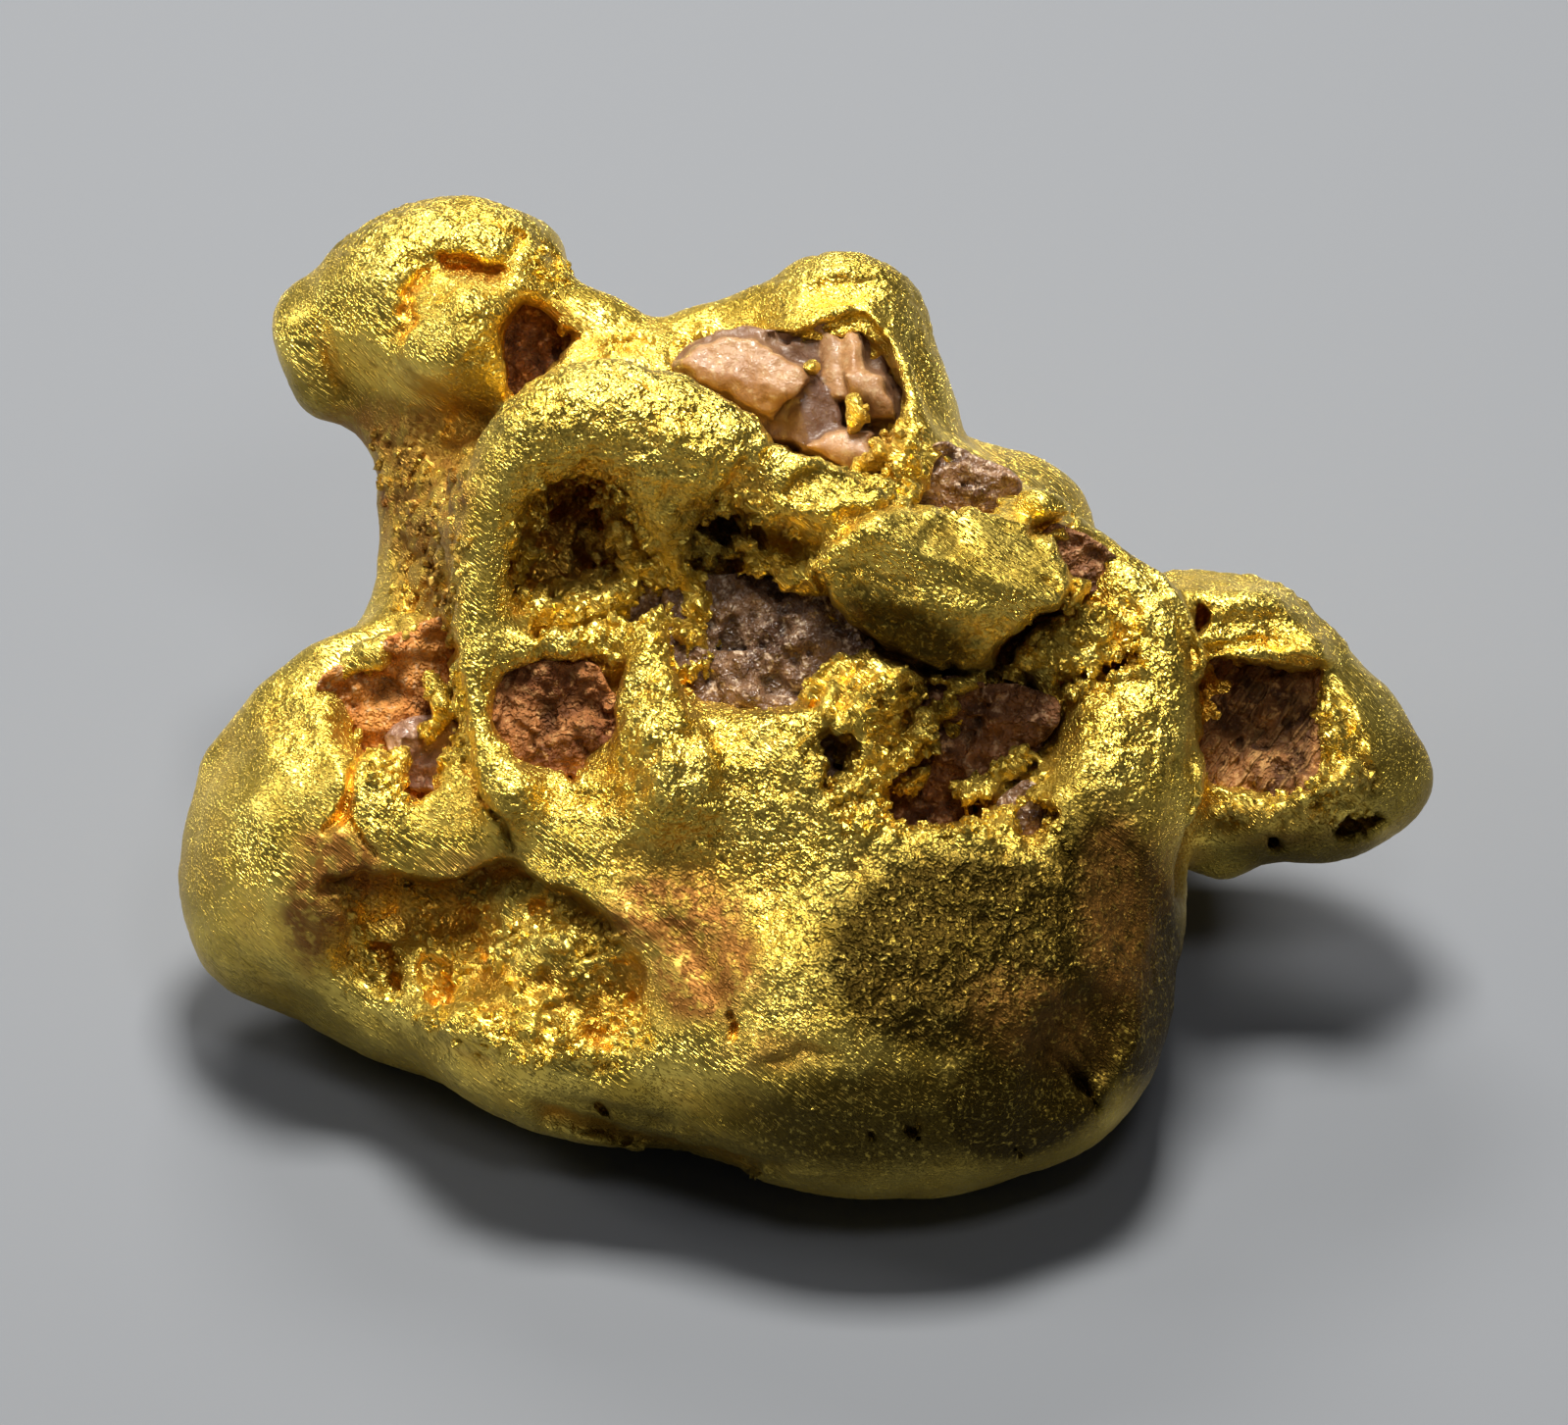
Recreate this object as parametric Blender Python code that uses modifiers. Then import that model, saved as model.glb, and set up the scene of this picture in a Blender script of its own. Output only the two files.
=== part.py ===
"""A natural gold nugget, with grains of quartz and ironstone held in its pits.

The nugget rests on the ground with its long side along X. Its broad, pitted face leans back from upright.
Most places are given in millimetres along that face: across to the right, up the face, and out of it.
"""

import math
import random

import bmesh
import bpy
from mathutils import Matrix, Vector

MM = 0.001

# Driving dimensions, mm
FACE_LEAN = math.radians(42)  # how far the broad face leans back from upright
FACE_HEIGHT = 9.8  # height of the middle of the face above the ground
FACE_BACK = -3.4  # its place along Y, which centres the nugget over its origin
BODY_VOXEL = 0.5  # grid on which the large lumps are fused
BODY_SOFTENING = 14  # smoothing passes over them
FUSE_VOXEL = 0.2  # grid on which the small lumps and rolls are fused to them
SOFTENING = 4  # smoothing passes over the whole
WEARING = 2  # smoothing passes that wear the lips of the pits
GOLD_FACES = 7900  # triangles that the gold keeps
LUMP_FINENESS = 4  # times that a large lump's ball is divided
SMALL_FINENESS = 3  # and a small lump's
ROLL_SIDES = 4  # fineness of a roll's round section
ROLL_STEPS = 6  # steps between two points of a roll
PIT_MOUTH = 3.0  # how far a pit's cutter stands out of the face
FLOOR_SHARE = 0.88  # a pit's floor against its mouth
GROUND_DEPTH = 10.0  # depth of the block of ground that wears the base flat
GROUND = (40.0, 40.0, GROUND_DEPTH)  # its size
GRAIN_GAP = 0.3  # clearance between a grain and the gold round it
GRAIN_ROUGHNESS = 0.14  # how far a grain's corners stray: mm, or a share of a crystal's size
GRAIN_WAIST = 0.9  # a grain's width against the pit's mouth, halfway up
GRAIN_SHOULDER = 0.7  # at its shoulders
GRAIN_TOP = 0.35  # and at its middle
CROWN = 0.15  # how far the middle of a grain stands over its shoulders

# Colour, metallic and roughness of each mineral
GOLD = ((0.72, 0.50, 0.10), 1.0, 0.36)
PALE_QUARTZ = ((0.52, 0.30, 0.23), 0.0, 0.35)
DARK_QUARTZ = ((0.13, 0.075, 0.07), 0.0, 0.32)
IRONSTONE = ((0.23, 0.075, 0.03), 0.0, 0.85)

# Large lumps of gold with level axes: centre (across, back, high), radii
LEVEL_LUMPS = (
    ((1.6, -5.8, 3.5), (5.9, 4.2, 3.7)),  # chin
    ((-3.4, -4.6, 3.5), (5.2, 4.0, 3.5)),  # left of the chin
    ((4.0, -5.2, 3.5), (3.7, 4.2, 3.6)),  # right of the chin
    ((-7.0, -2.2, 2.8), (4.2, 3.6, 3.3)),  # under the left lobe
    ((1.0, -1.0, 5.5), (7.0, 5.2, 5.0)),  # middle
    ((-0.2, 3.9, 5.6), (5.9, 4.2, 4.9)),  # back
    ((2.2, 4.4, 3.2), (5.2, 4.0, 3.4)),  # foot of the back
    ((-5.0, 3.6, 5.2), (2.9, 3.4, 3.2)),  # left of the back
    ((5.4, 2.2, 4.6), (2.6, 3.0, 2.9)),  # right of the back
    ((-2.4, 6.6, 2.3), (2.5, 2.2, 2.5)),  # heel of the back
    ((3.9, 6.5, 5.4), (2.5, 2.2, 2.3)),  # lumps of the back
    ((0.4, 6.9, 7.9), (2.8, 1.8, 1.9)),
    ((-3.8, 6.3, 6.6), (2.1, 1.9, 1.9)),
    ((6.9, 4.4, 2.9), (1.9, 1.9, 1.9)),
    ((-6.9, 4.6, 3.6), (1.8, 2.1, 1.8)),
    ((1.6, 5.4, 10.2), (1.9, 1.6, 1.4)),
)

# Hollows in the back and the underside, with level axes
BACK_HOLLOWS = (
    ((1.8, 9.0, 6.6), (0.9, 1.3, 1.0)),
    ((-1.9, 9.2, 6.0), (0.8, 1.6, 1.3)),
    ((5.4, 7.2, 3.6), (1.1, 1.2, 0.8)),
    ((-5.2, 7.6, 5.2), (1.1, 1.7, 0.8)),
    ((2.4, 7.6, 10.2), (0.8, 1.2, 0.9)),
    ((8.4, -3.2, 5.6), (1.0, 1.9, 1.3)),
    ((7.6, -6.6, 1.6), (1.2, 1.3, 0.7)),
    ((-2.0, 0.6, 0.2), (3.0, 1.5, 1.2)),
    ((0.8, -5.6, -0.4), (2.4, 0.9, 0.9)),
    ((4.6, -1.6, 0.0), (1.7, 1.2, 1.0)),
)

# Large lumps of gold laid along the face: centre (across, up, out), radii, roll in degrees
FACE_LUMPS = (
    ((2.7, -3.0, -3.7), (5.5, 5.4, 3.9), 0),  # belly
    ((-3.4, -3.4, -3.7), (5.0, 4.2, 3.4), 0),  # left of the belly
    ((-8.9, -2.9, -4.9), (3.9, 3.5, 3.4), 0),  # left lobe
    ((-11.2, -3.5, -5.6), (1.9, 2.9, 2.4), 0),  # tip of the left lobe
    ((-9.9, -0.5, -5.7), (2.3, 1.5, 1.9), 28),  # shoulder of the left lobe
    ((0.0, 2.1, -4.7), (6.3, 3.9, 3.2), 0),  # upper body
    ((6.2, -2.0, -2.9), (2.1, 3.4, 2.5), 0),  # right cheek
    ((-7.5, 1.0, -6.6), (1.9, 2.2, 1.8), 0),  # behind the left pocket
    ((-7.5, 3.9, -7.3), (1.5, 2.8, 1.8), 8),  # neck
    ((-4.6, 3.6, -4.6), (2.4, 3.1, 2.9), 0),  # behind the arch
    ((-3.6, 4.7, -3.8), (2.8, 1.9, 2.4), 0),
    ((-0.9, 4.2, -3.4), (2.4, 1.5, 2.0), -20),
    ((-6.3, 2.9, -4.0), (1.3, 3.0, 2.8), 0),
    ((-7.6, 8.55, -7.6), (3.0, 2.15, 2.4), 14),  # upper knob
    ((0.8, 7.8, -6.6), (2.0, 1.95, 1.8), -14),  # crest
    ((-3.4, 6.2, -6.6), (2.4, 1.9, 1.5), 0),  # below the saddle
)

# Small lumps of gold laid along the face
SMALL_LUMPS = (
    ((-6.9, 7.5, -6.1), (2.0, 1.35, 1.7), -14),  # front of the upper knob
    ((-10.3, 7.65, -7.9), (0.85, 1.3, 1.1), 8),  # side bump of the upper knob
    ((-9.9, 6.5, -8.0), (0.9, 0.6, 0.9), -20),  # and below that
    ((-5.65, 9.15, -8.2), (0.85, 1.1, 1.0), 0),  # back bump of the upper knob
    ((-0.6, 8.15, -6.8), (0.7, 0.7, 0.9), 0),  # left end of the crest
    ((2.0, 7.9, -7.0), (0.75, 1.1, 1.0), 0),  # right end of the crest
    ((-5.3, 7.3, -8.7), (1.5, 1.3, 1.1), 0),  # behind the pit of the upper knob
    ((2.9, 2.45, -0.95), (2.45, 1.3, 1.25), -14),  # leaf
    ((4.9, 4.1, -2.0), (0.8, 0.5, 0.6), -20),  # bead beside the leaf
    ((5.2, 1.4, -2.3), (1.6, 0.7, 0.9), -8),  # shelf under the leaf
    ((1.3, -1.6, -1.2), (0.5, 0.8, 0.8), 0),  # lump between the pits
    ((-4.9, 1.15, -1.6), (0.45, 0.4, 0.6), 0),  # lumps over the square pit
    ((-5.7, 1.2, -1.3), (0.5, 0.45, 0.6), 0),
    ((8.6, -2.6, -6.0), (1.0, 1.1, 1.2), 0),  # under the right knob
    ((-8.4, -0.9, -2.6), (0.5, 0.5, 0.6), 0),  # bump in the left pocket's mouth
)

# Rolls of gold, each a run of points (across, up, out) with its radius there
ROLLS = (
    (  # arch
        (-6.5, 1.0, -1.5, 0.7), (-6.65, 2.4, -1.4, 0.62), (-6.55, 3.6, -1.3, 0.65),
        (-6.05, 4.8, -1.2, 0.85), (-5.1, 5.75, -1.1, 1.15), (-3.9, 5.85, -1.1, 1.3),
        (-2.7, 5.5, -1.1, 1.3), (-1.6, 5.1, -1.0, 1.15), (-0.7, 4.7, -0.9, 0.9),
        (0.3, 4.4, -0.7, 0.85), (1.4, 3.5, -0.8, 0.9),
    ),
    ((-3.0, 5.0, -1.0, 1.0), (-2.75, 3.8, -1.4, 0.7), (-2.45, 2.8, -1.9, 0.4)),  # nose of the arch
    ((-2.5, -1.8, -0.7, 1.3), (-3.1, -0.1, -0.8, 0.9), (-3.0, 1.5, -0.9, 0.45)),  # spur
    ((-6.9, 0.8, -1.5, 0.5), (-6.7, -0.6, -1.1, 0.5), (-6.0, -1.8, -0.8, 0.7)),  # left bank
    (  # middle bank
        (0.4, -0.4, -1.4, 0.7), (1.1, 0.8, -1.4, 0.65), (1.8, 0.2, -1.3, 0.75), (1.9, -0.9, -1.3, 0.6),
    ),
    (  # left edge of the neck
        (-8.4, 6.0, -7.6, 1.0), (-7.95, 4.9, -7.5, 0.8), (-7.75, 3.8, -7.3, 0.75),
        (-7.4, 2.5, -7.0, 0.75),
    ),
    (  # right rim
        (4.7, 3.8, -2.9, 0.6), (5.9, 3.0, -3.0, 0.75), (6.95, 1.9, -2.6, 0.85),
        (7.45, 0.7, -2.3, 0.8), (7.4, -1.0, -2.2, 0.8), (7.2, -3.0, -2.4, 0.9),
    ),
    (  # upper edge of the left lobe
        (-11.7, -1.3, -5.1, 0.9), (-10.6, -0.1, -5.1, 0.95), (-9.4, 0.9, -5.3, 0.75),
        (-8.4, 1.5, -5.6, 0.5),
    ),
    (  # saddle
        (-5.6, 8.1, -7.0, 0.9), (-4.2, 7.9, -6.9, 0.75), (-3.2, 7.3, -6.9, 0.75),
        (-2.0, 7.6, -7.1, 0.85), (-0.8, 7.7, -7.1, 0.9),
    ),
    (  # ledge over the top quartz
        (-0.9, 7.5, -5.2, 0.3), (0.6, 7.75, -4.8, 0.35), (1.6, 7.5, -4.6, 0.35), (2.1, 6.6, -4.4, 0.4),
        (2.3, 5.7, -4.0, 0.4),
    ),
    ((1.8, 5.3, -3.6, 0.3), (2.2, 4.4, -3.2, 0.4), (2.7, 5.1, -4.2, 0.4)),  # flake by the top quartz
    (  # right knob
        (6.6, 0.8, -5.6, 2.2), (8.1, -0.3, -5.8, 2.65), (8.95, -0.4, -5.9, 2.8), (10.5, -1.1, -5.9, 2.25),
        (11.85, -1.5, -5.8, 1.25),
    ),
)

# Creases along the surface, as seen square to the face: points (across, up) with the radius there
CREASES = (
    (  # upper knob
        (-8.4, 6.9, 0.2), (-8.4, 8.2, 0.35), (-8.0, 9.2, 0.4),
        (-7.0, 9.3, 0.4), (-6.0, 9.0, 0.3),
    ),
    (  # leaf
        (0.5, 3.2, 0.2), (0.6, 2.1, 0.3), (1.4, 1.3, 0.3),
        (3.0, 0.6, 0.35), (4.0, 1.3, 0.4), (5.1, 2.0, 0.35),
    ),
    ((-1.2, 5.5, 0.2), (-1.0, 4.9, 0.3), (-1.2, 4.2, 0.4)),  # between the arch and the bridge
    (  # ledge
        (-9.9, -3.3, 0.2), (-8.4, -3.2, 0.35), (-7.0, -3.4, 0.4),
        (-6.0, -3.0, 0.35), (-4.6, -3.7, 0.2),
    ),
    ((-9.0, -1.0, 0.2), (-9.4, -2.2, 0.25), (-8.9, -3.0, 0.2)),  # left lobe
    ((-5.3, -8.1, 0.25), (-3.8, -8.5, 0.35), (-2.4, -8.7, 0.25)),  # under the chin
    ((4.3, 4.9, 0.2), (5.2, 3.8, 0.25), (5.5, 2.6, 0.25)),  # inside the right rim
    ((-6.3, 1.0, 0.2), (-5.2, 0.8, 0.3), (-4.0, 1.0, 0.3)),  # under the foot of the arch
    ((-10.0, 8.9, 0.2), (-9.5, 7.8, 0.25), (-9.5, 6.6, 0.2)),  # beside the side bump
    ((8.4, 2.2, 0.2), (8.3, 1.2, 0.3)),  # root of the right knob
)

# Pits: how far out the floor lies, the outline of the mouth (across, up), and the grain of rock in it
# with its mineral and how far out its top lies
PITS = (
    (  # arch
        -3.8,
        ((-6.0, 2.3), (-5.6, 3.4), (-4.9, 4.6), (-3.8, 4.5),
         (-3.1, 2.9), (-3.6, 2.3), (-4.7, 1.8)),
        None,
    ),
    (  # bridge
        -3.6,
        ((-2.5, 3.2), (-2.2, 3.8), (-1.4, 4.0),
         (-0.6, 3.3), (-0.8, 2.6), (-1.8, 2.5)),
        None,
    ),
    (  # middle
        -3.6,
        ((-2.8, 1.8), (-1.7, 2.5), (-0.4, 2.6), (0.6, 2.1),
         (1.0, 1.3), (-0.1, 0.1), (-1.4, 0.0), (-2.7, 0.4)),
        ("quartz_middle", DARK_QUARTZ, -1.9),
    ),
    (  # square
        -3.2, ((-6.2, 0.7), (-4.3, 0.8), (-3.8, -0.4), (-4.4, -1.2), (-5.1, -1.4), (-6.0, -1.1)),
        ("ironstone_square", IRONSTONE, -1.7),
    ),
    (  # long
        -4.0,
        ((1.6, -2.4), (1.9, -1.4), (2.3, 0.0), (3.1, 0.5),
         (4.8, 0.4), (4.9, -0.6), (4.0, -2.0), (2.8, -2.6)),
        ("ironstone_long_pit", IRONSTONE, -2.7),
    ),
    (-2.6, ((0.3, -0.6), (0.9, -0.5), (1.0, -1.3), (0.6, -1.6), (0.2, -1.1)), None),  # small, left
    (-2.2, ((4.2, -1.9), (5.1, -2.0), (5.1, -2.6), (4.5, -2.7)), None),  # small, right
    (-3.4, ((5.9, 1.1), (6.8, 1.3), (6.9, 0.8), (6.2, 0.5)), None),  # slit
    (  # left pocket
        -5.9,
        ((-9.6, 0.3), (-8.8, 1.2), (-7.6, 1.7), (-7.2, 0.6),
         (-7.2, -1.2), (-7.9, -2.0), (-8.9, -0.8)),
        ("ironstone_left", IRONSTONE, -4.4),
    ),
    (  # top
        -5.6,
        ((-2.2, 7.0), (-0.4, 7.3), (1.5, 7.2), (1.8, 6.2),
         (2.0, 5.0), (0.8, 4.9), (-0.5, 5.6), (-1.6, 6.3)),
        None,
    ),
    (  # beside the bead
        -4.8, ((2.3, 4.4), (2.8, 5.1), (3.8, 4.8), (4.3, 4.3), (3.9, 3.9), (2.9, 3.9)),
        ("quartz_back", DARK_QUARTZ, -3.4),
    ),
    (-3.4, ((5.4, 3.2), (6.1, 2.9), (5.9, 2.3), (5.2, 2.6)), None),  # inside the right rim
    (  # right knob
        -5.4, ((8.3, 1.1), (10.8, 0.9), (10.8, -1.2), (10.4, -1.8), (9.4, -2.0), (8.3, -1.4)),
        ("ironstone_right_knob", IRONSTONE, -4.2),
    ),
    (  # upper knob
        -8.2, ((-6.3, 8.0), (-5.7, 8.6), (-4.8, 7.8), (-5.3, 6.9), (-6.1, 6.5)),
        ("ironstone_upper_knob", IRONSTONE, -7.2),
    ),
)

# Basins in the large lumps, under the rolls: centre (across, up, out), radii, roll in degrees
BASINS = (
    ((-0.7, 1.7, -0.7), (2.7, 1.9, 1.6), 0),  # middle
    ((-4.6, 3.2, -1.0), (1.9, 2.2, 1.7), 0),  # inside the arch
    ((3.7, -0.5, -0.2), (2.2, 1.9, 1.7), 30),  # long pit
    ((0.2, 6.3, -3.3), (2.3, 1.5, 1.8), -12),  # top quartz
    ((-8.5, 0.2, -2.6), (1.5, 1.7, 1.9), 20),  # left pocket
    ((9.4, -0.4, -2.6), (1.5, 1.6, 1.4), 0),  # right knob
)

# Smooth hollows in the gold: centre (across, up, out), radii, roll in degrees
HOLLOWS = (
    ((-8.1, -4.7, -0.8), (2.1, 1.4, 1.5), -20),  # hollow of the left lobe
    ((-5.6, -5.5, 0.0), (2.3, 1.6, 1.5), -16),  # its right end
)

# The flat worn on the leaf: middle (across, up, out), size, and how far it tips up in degrees
LEAF_FLAT = ((3.2, 3.3, 0.82), (4.8, 3.6, 2.0), 25)

# Quartz crystals grown together on top: centre (across, up, out), radii, roll in degrees
TOP_QUARTZ = (
    ((-1.0, 6.55, -4.5), (1.4, 0.85, 1.1), -24),
    ((0.5, 5.95, -4.2), (0.95, 0.75, 0.9), 30),
    ((1.2, 6.5, -4.6), (0.6, 1.0, 0.9), 8),
    ((1.0, 5.4, -4.3), (0.9, 0.5, 0.9), -20),
)


def on_face(across, up, out):
    """A place along the leaning face, in metres."""
    back = up * math.sin(FACE_LEAN) - out * math.cos(FACE_LEAN) + FACE_BACK
    high = up * math.cos(FACE_LEAN) + out * math.sin(FACE_LEAN) + FACE_HEIGHT
    return MM * Vector((across, back, high))


def face_turn(roll=0.0):
    """Turns X, Y and Z into across, up and out of the face, after a roll about out in degrees."""
    across = Vector((1, 0, 0))
    up = Vector((0, math.sin(FACE_LEAN), math.cos(FACE_LEAN)))
    axes = Matrix((across, up, across.cross(up))).transposed().to_4x4()
    return axes @ Matrix.Rotation(math.radians(roll), 4, "Z")


def stretch(radii, grow=0.0):
    """A matrix that makes a unit ball into a lump with these radii in mm."""
    return Matrix.Diagonal([MM * (radius + grow) for radius in radii] + [1])


def new_collection(name):
    """A collection linked to the scene."""
    collection = bpy.data.collections.new(name)
    bpy.context.scene.collection.children.link(collection)
    return collection


def new_object(name, shape, collection):
    """An object for a bmesh, which is used up."""
    mesh = bpy.data.meshes.new(name)
    shape.to_mesh(mesh)
    shape.free()
    thing = bpy.data.objects.new(name, mesh)
    collection.objects.link(thing)
    return thing


def settle(thing):
    """Applies a thing's modifiers to its mesh."""
    result = bpy.data.meshes.new_from_object(thing.evaluated_get(bpy.context.evaluated_depsgraph_get()))
    thing.modifiers.clear()
    thing.data = result


def add_lump(shape, centre, radii, turn, fineness=LUMP_FINENESS):
    """Adds a closed, egg-shaped lump to a bmesh."""
    place = Matrix.Translation(centre) @ turn @ stretch(radii)
    bmesh.ops.create_icosphere(shape, subdivisions=fineness, radius=1.0, matrix=place)


def add_roll(shape, points, collection):
    """Adds a closed roll to a bmesh, as a bevelled curve with a ball on each point."""
    curve = bpy.data.curves.new("roll", "CURVE")
    curve.dimensions = "3D"
    curve.bevel_depth = MM
    curve.bevel_resolution = ROLL_SIDES
    curve.resolution_u = ROLL_STEPS
    curve.use_fill_caps = True
    spline = curve.splines.new("BEZIER")
    spline.bezier_points.add(len(points) - 1)
    for knot, (across, up, out, radius) in zip(spline.bezier_points, points):
        knot.co = on_face(across, up, out)
        knot.radius = radius
        knot.handle_left_type = knot.handle_right_type = "AUTO"
    tube = bpy.data.objects.new("roll", curve)
    collection.objects.link(tube)
    seen = tube.evaluated_get(bpy.context.evaluated_depsgraph_get())
    shape.from_mesh(bpy.data.meshes.new_from_object(seen))
    bpy.data.objects.remove(tube)
    for across, up, out, radius in points:
        add_lump(shape, on_face(across, up, out), (radius,) * 3, Matrix(), SMALL_FINENESS)


def fuse(thing, voxel, passes):
    """Melts a thing's lumps into one skin and softens it."""
    melt = thing.modifiers.new("melt", "REMESH")
    melt.mode = "VOXEL"
    melt.voxel_size = voxel * MM
    soften = thing.modifiers.new("soften", "SMOOTH")
    soften.factor = 0.5
    soften.iterations = passes
    settle(thing)


def smooth_hollows(hollows):
    """Egg-shaped cutters, one bmesh for each."""
    for centre, radii, roll in hollows:
        shape = bmesh.new()
        add_lump(shape, on_face(*centre), radii, face_turn(roll), SMALL_FINENESS)
        yield shape


def back_hollows():
    """Egg-shaped cutters for the back and the underside, one bmesh for each."""
    for centre, radii in BACK_HOLLOWS:
        shape = bmesh.new()
        add_lump(shape, MM * Vector(centre), radii, Matrix(), SMALL_FINENESS)
        yield shape


def gold_body(collection):
    """The gold before it is pitted: the large lumps fused first, then the small ones on them."""
    shape = bmesh.new()
    for centre, radii in LEVEL_LUMPS:
        add_lump(shape, MM * Vector(centre), radii, Matrix())
    for centre, radii, roll in FACE_LUMPS:
        add_lump(shape, on_face(*centre), radii, face_turn(roll))
    gold = new_object("gold", shape, collection)
    fuse(gold, BODY_VOXEL, BODY_SOFTENING)
    combine(gold, smooth_hollows(BASINS), "DIFFERENCE", collection)
    shape = bmesh.new()
    shape.from_mesh(gold.data)
    for centre, radii, roll in SMALL_LUMPS:
        add_lump(shape, on_face(*centre), radii, face_turn(roll), SMALL_FINENESS)
    for points in ROLLS:
        add_roll(shape, points, collection)
    shape.to_mesh(gold.data)
    shape.free()
    fuse(gold, FUSE_VOXEL, SOFTENING)
    return gold


def crease_cutter(points, gold, collection):
    """A closed cutter for one crease, which follows the surface of the gold."""
    line = []
    toward = on_face(0, 0, 0) - on_face(0, 0, 1)
    for across, up, radius in points:
        place = gold.ray_cast(on_face(across, up, PIT_MOUTH), toward)[1]
        depth = (place - on_face(across, up, 0)).dot(toward) / toward.length_squared
        line.append((across, up, -depth, radius))
    shape = bmesh.new()
    add_roll(shape, line, collection)
    crease = new_object("crease", shape, collection)
    fuse(crease, FUSE_VOXEL / 2, 1)
    shape = bmesh.new()
    shape.from_mesh(crease.data)
    bpy.data.objects.remove(crease)
    return shape


def shrink(outline, share, inset=0.0):
    """An outline drawn in about its middle, to a share of its size and by an inset in mm."""
    middle = Vector([sum(values) / len(outline) for values in zip(*outline)])
    corners = []
    for corner in outline:
        arm = Vector(corner) - middle
        corners.append(middle + arm * share * (1 - inset / arm.length))
    return corners


def stack(rings, chance=None):
    """A closed solid through rings of points, the upper corners strayed where chance is given."""
    shape = bmesh.new()
    loops = []
    for ring in rings:
        loops.append([shape.verts.new(on_face(*point)) for point in ring])
    for lower, upper in zip(loops, loops[1:]):
        for i, corner in enumerate(lower):
            j = (i + 1) % len(lower)
            shape.faces.new((corner, lower[j], upper[j], upper[i]))
    shape.faces.new(loops[0])
    shape.faces.new(loops[-1])
    if chance:
        for corner in loops[-1] + loops[-2]:
            corner.co += MM * GRAIN_ROUGHNESS * Vector([chance.uniform(-1, 1) for _ in range(3)])
        bmesh.ops.poke(shape, faces=[face for face in shape.faces if len(face.verts) > 4])
    bmesh.ops.recalc_face_normals(shape, faces=shape.faces)
    bmesh.ops.triangulate(shape, faces=shape.faces)
    return shape


def pit_cutter(floor, outline):
    """A cutter for one pit, narrowing to its floor."""
    mouth = [(*corner, PIT_MOUTH) for corner in outline]
    base = [(*corner, floor) for corner in shrink(outline, FLOOR_SHARE)]
    return stack((mouth, base))


def pit_grain(name, floor, outline, top):
    """The grain of rock in one pit, clear of its walls and floor."""
    low = floor + GRAIN_GAP
    waist = (low + 2 * top) / 3
    levels = ((low, FLOOR_SHARE), (waist, GRAIN_WAIST), (top, GRAIN_SHOULDER), (top + CROWN, GRAIN_TOP))
    rings = []
    for out, share in levels:
        rings.append([(*corner, out) for corner in shrink(outline, share, GRAIN_GAP)])
    return stack(rings, random.Random(name))


def quartz_lumps(grow):
    """The faceted lumps of the quartz on top, one bmesh for each, grown by a clearance in mm."""
    for number, (centre, radii, roll) in enumerate(TOP_QUARTZ):
        chance = random.Random(number)
        shape = bmesh.new()
        corners = bmesh.ops.create_icosphere(shape, subdivisions=2, radius=1.0)["verts"]
        for corner in corners:
            corner.co *= 1 + chance.uniform(-GRAIN_ROUGHNESS, GRAIN_ROUGHNESS)
        shape.transform(Matrix.Translation(on_face(*centre)) @ face_turn(roll) @ stretch(radii, grow))
        yield shape


def combine(thing, shapes, operation, collection):
    """Joins bmeshes to a thing, or cuts them from it, one at a time."""
    for shape in shapes:
        tool = new_object(thing.name + "_" + operation.lower(), shape, collection)
        tool.hide_render = True
        tool.display_type = "WIRE"
        change = thing.modifiers.new(operation, "BOOLEAN")
        change.operation = operation
        change.object = tool
        settle(thing)
        bpy.data.objects.remove(tool)


def mineral(name, finish):
    """A Principled material for one mineral."""
    colour, metallic, roughness = finish
    material = bpy.data.materials.new(name)
    material.use_nodes = True
    shader = material.node_tree.nodes["Principled BSDF"]
    shader.inputs["Base Color"].default_value = (*colour, 1)
    shader.inputs["Metallic"].default_value = metallic
    shader.inputs["Roughness"].default_value = roughness
    return material


def block(middle, turn, size):
    """A block round a middle in metres, with its size in mm."""
    shape = bmesh.new()
    bmesh.ops.create_cube(shape, size=1.0, matrix=Matrix.Translation(middle) @ turn @ stretch(size))
    return shape


def leaf_block():
    """A cutter for the flat on the leaf."""
    middle, size, tip = LEAF_FLAT
    turn = face_turn() @ Matrix.Rotation(math.radians(-tip), 4, "X")
    return block(on_face(*middle), turn, size)


def ground_block():
    """A cutter for the ground, which reaches down from height zero."""
    return block(Vector((0, 0, -GROUND_DEPTH / 2 * MM)), Matrix(), GROUND)


def make_gold(nugget, cutters):
    """The gold, with its hollows, creases, pits and worn base."""
    gold = gold_body(nugget)
    combine(gold, smooth_hollows(HOLLOWS), "DIFFERENCE", cutters)
    combine(gold, back_hollows(), "DIFFERENCE", cutters)
    combine(gold, [leaf_block()], "DIFFERENCE", cutters)
    combine(gold, [crease_cutter(points, gold, cutters) for points in CREASES], "DIFFERENCE", cutters)
    combine(gold, [pit_cutter(floor, outline) for floor, outline, _ in PITS], "DIFFERENCE", cutters)
    fuse(gold, FUSE_VOXEL, WEARING)
    thin = gold.modifiers.new("thin", "DECIMATE")
    thin.ratio = GOLD_FACES / sum(len(face.vertices) - 2 for face in gold.data.polygons)
    settle(gold)
    combine(gold, quartz_lumps(GRAIN_GAP), "DIFFERENCE", cutters)
    combine(gold, [ground_block()], "DIFFERENCE", cutters)
    gold.data.shade_smooth()
    gold.data.materials.clear()
    gold.data.materials.append(mineral("gold", GOLD))


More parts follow.
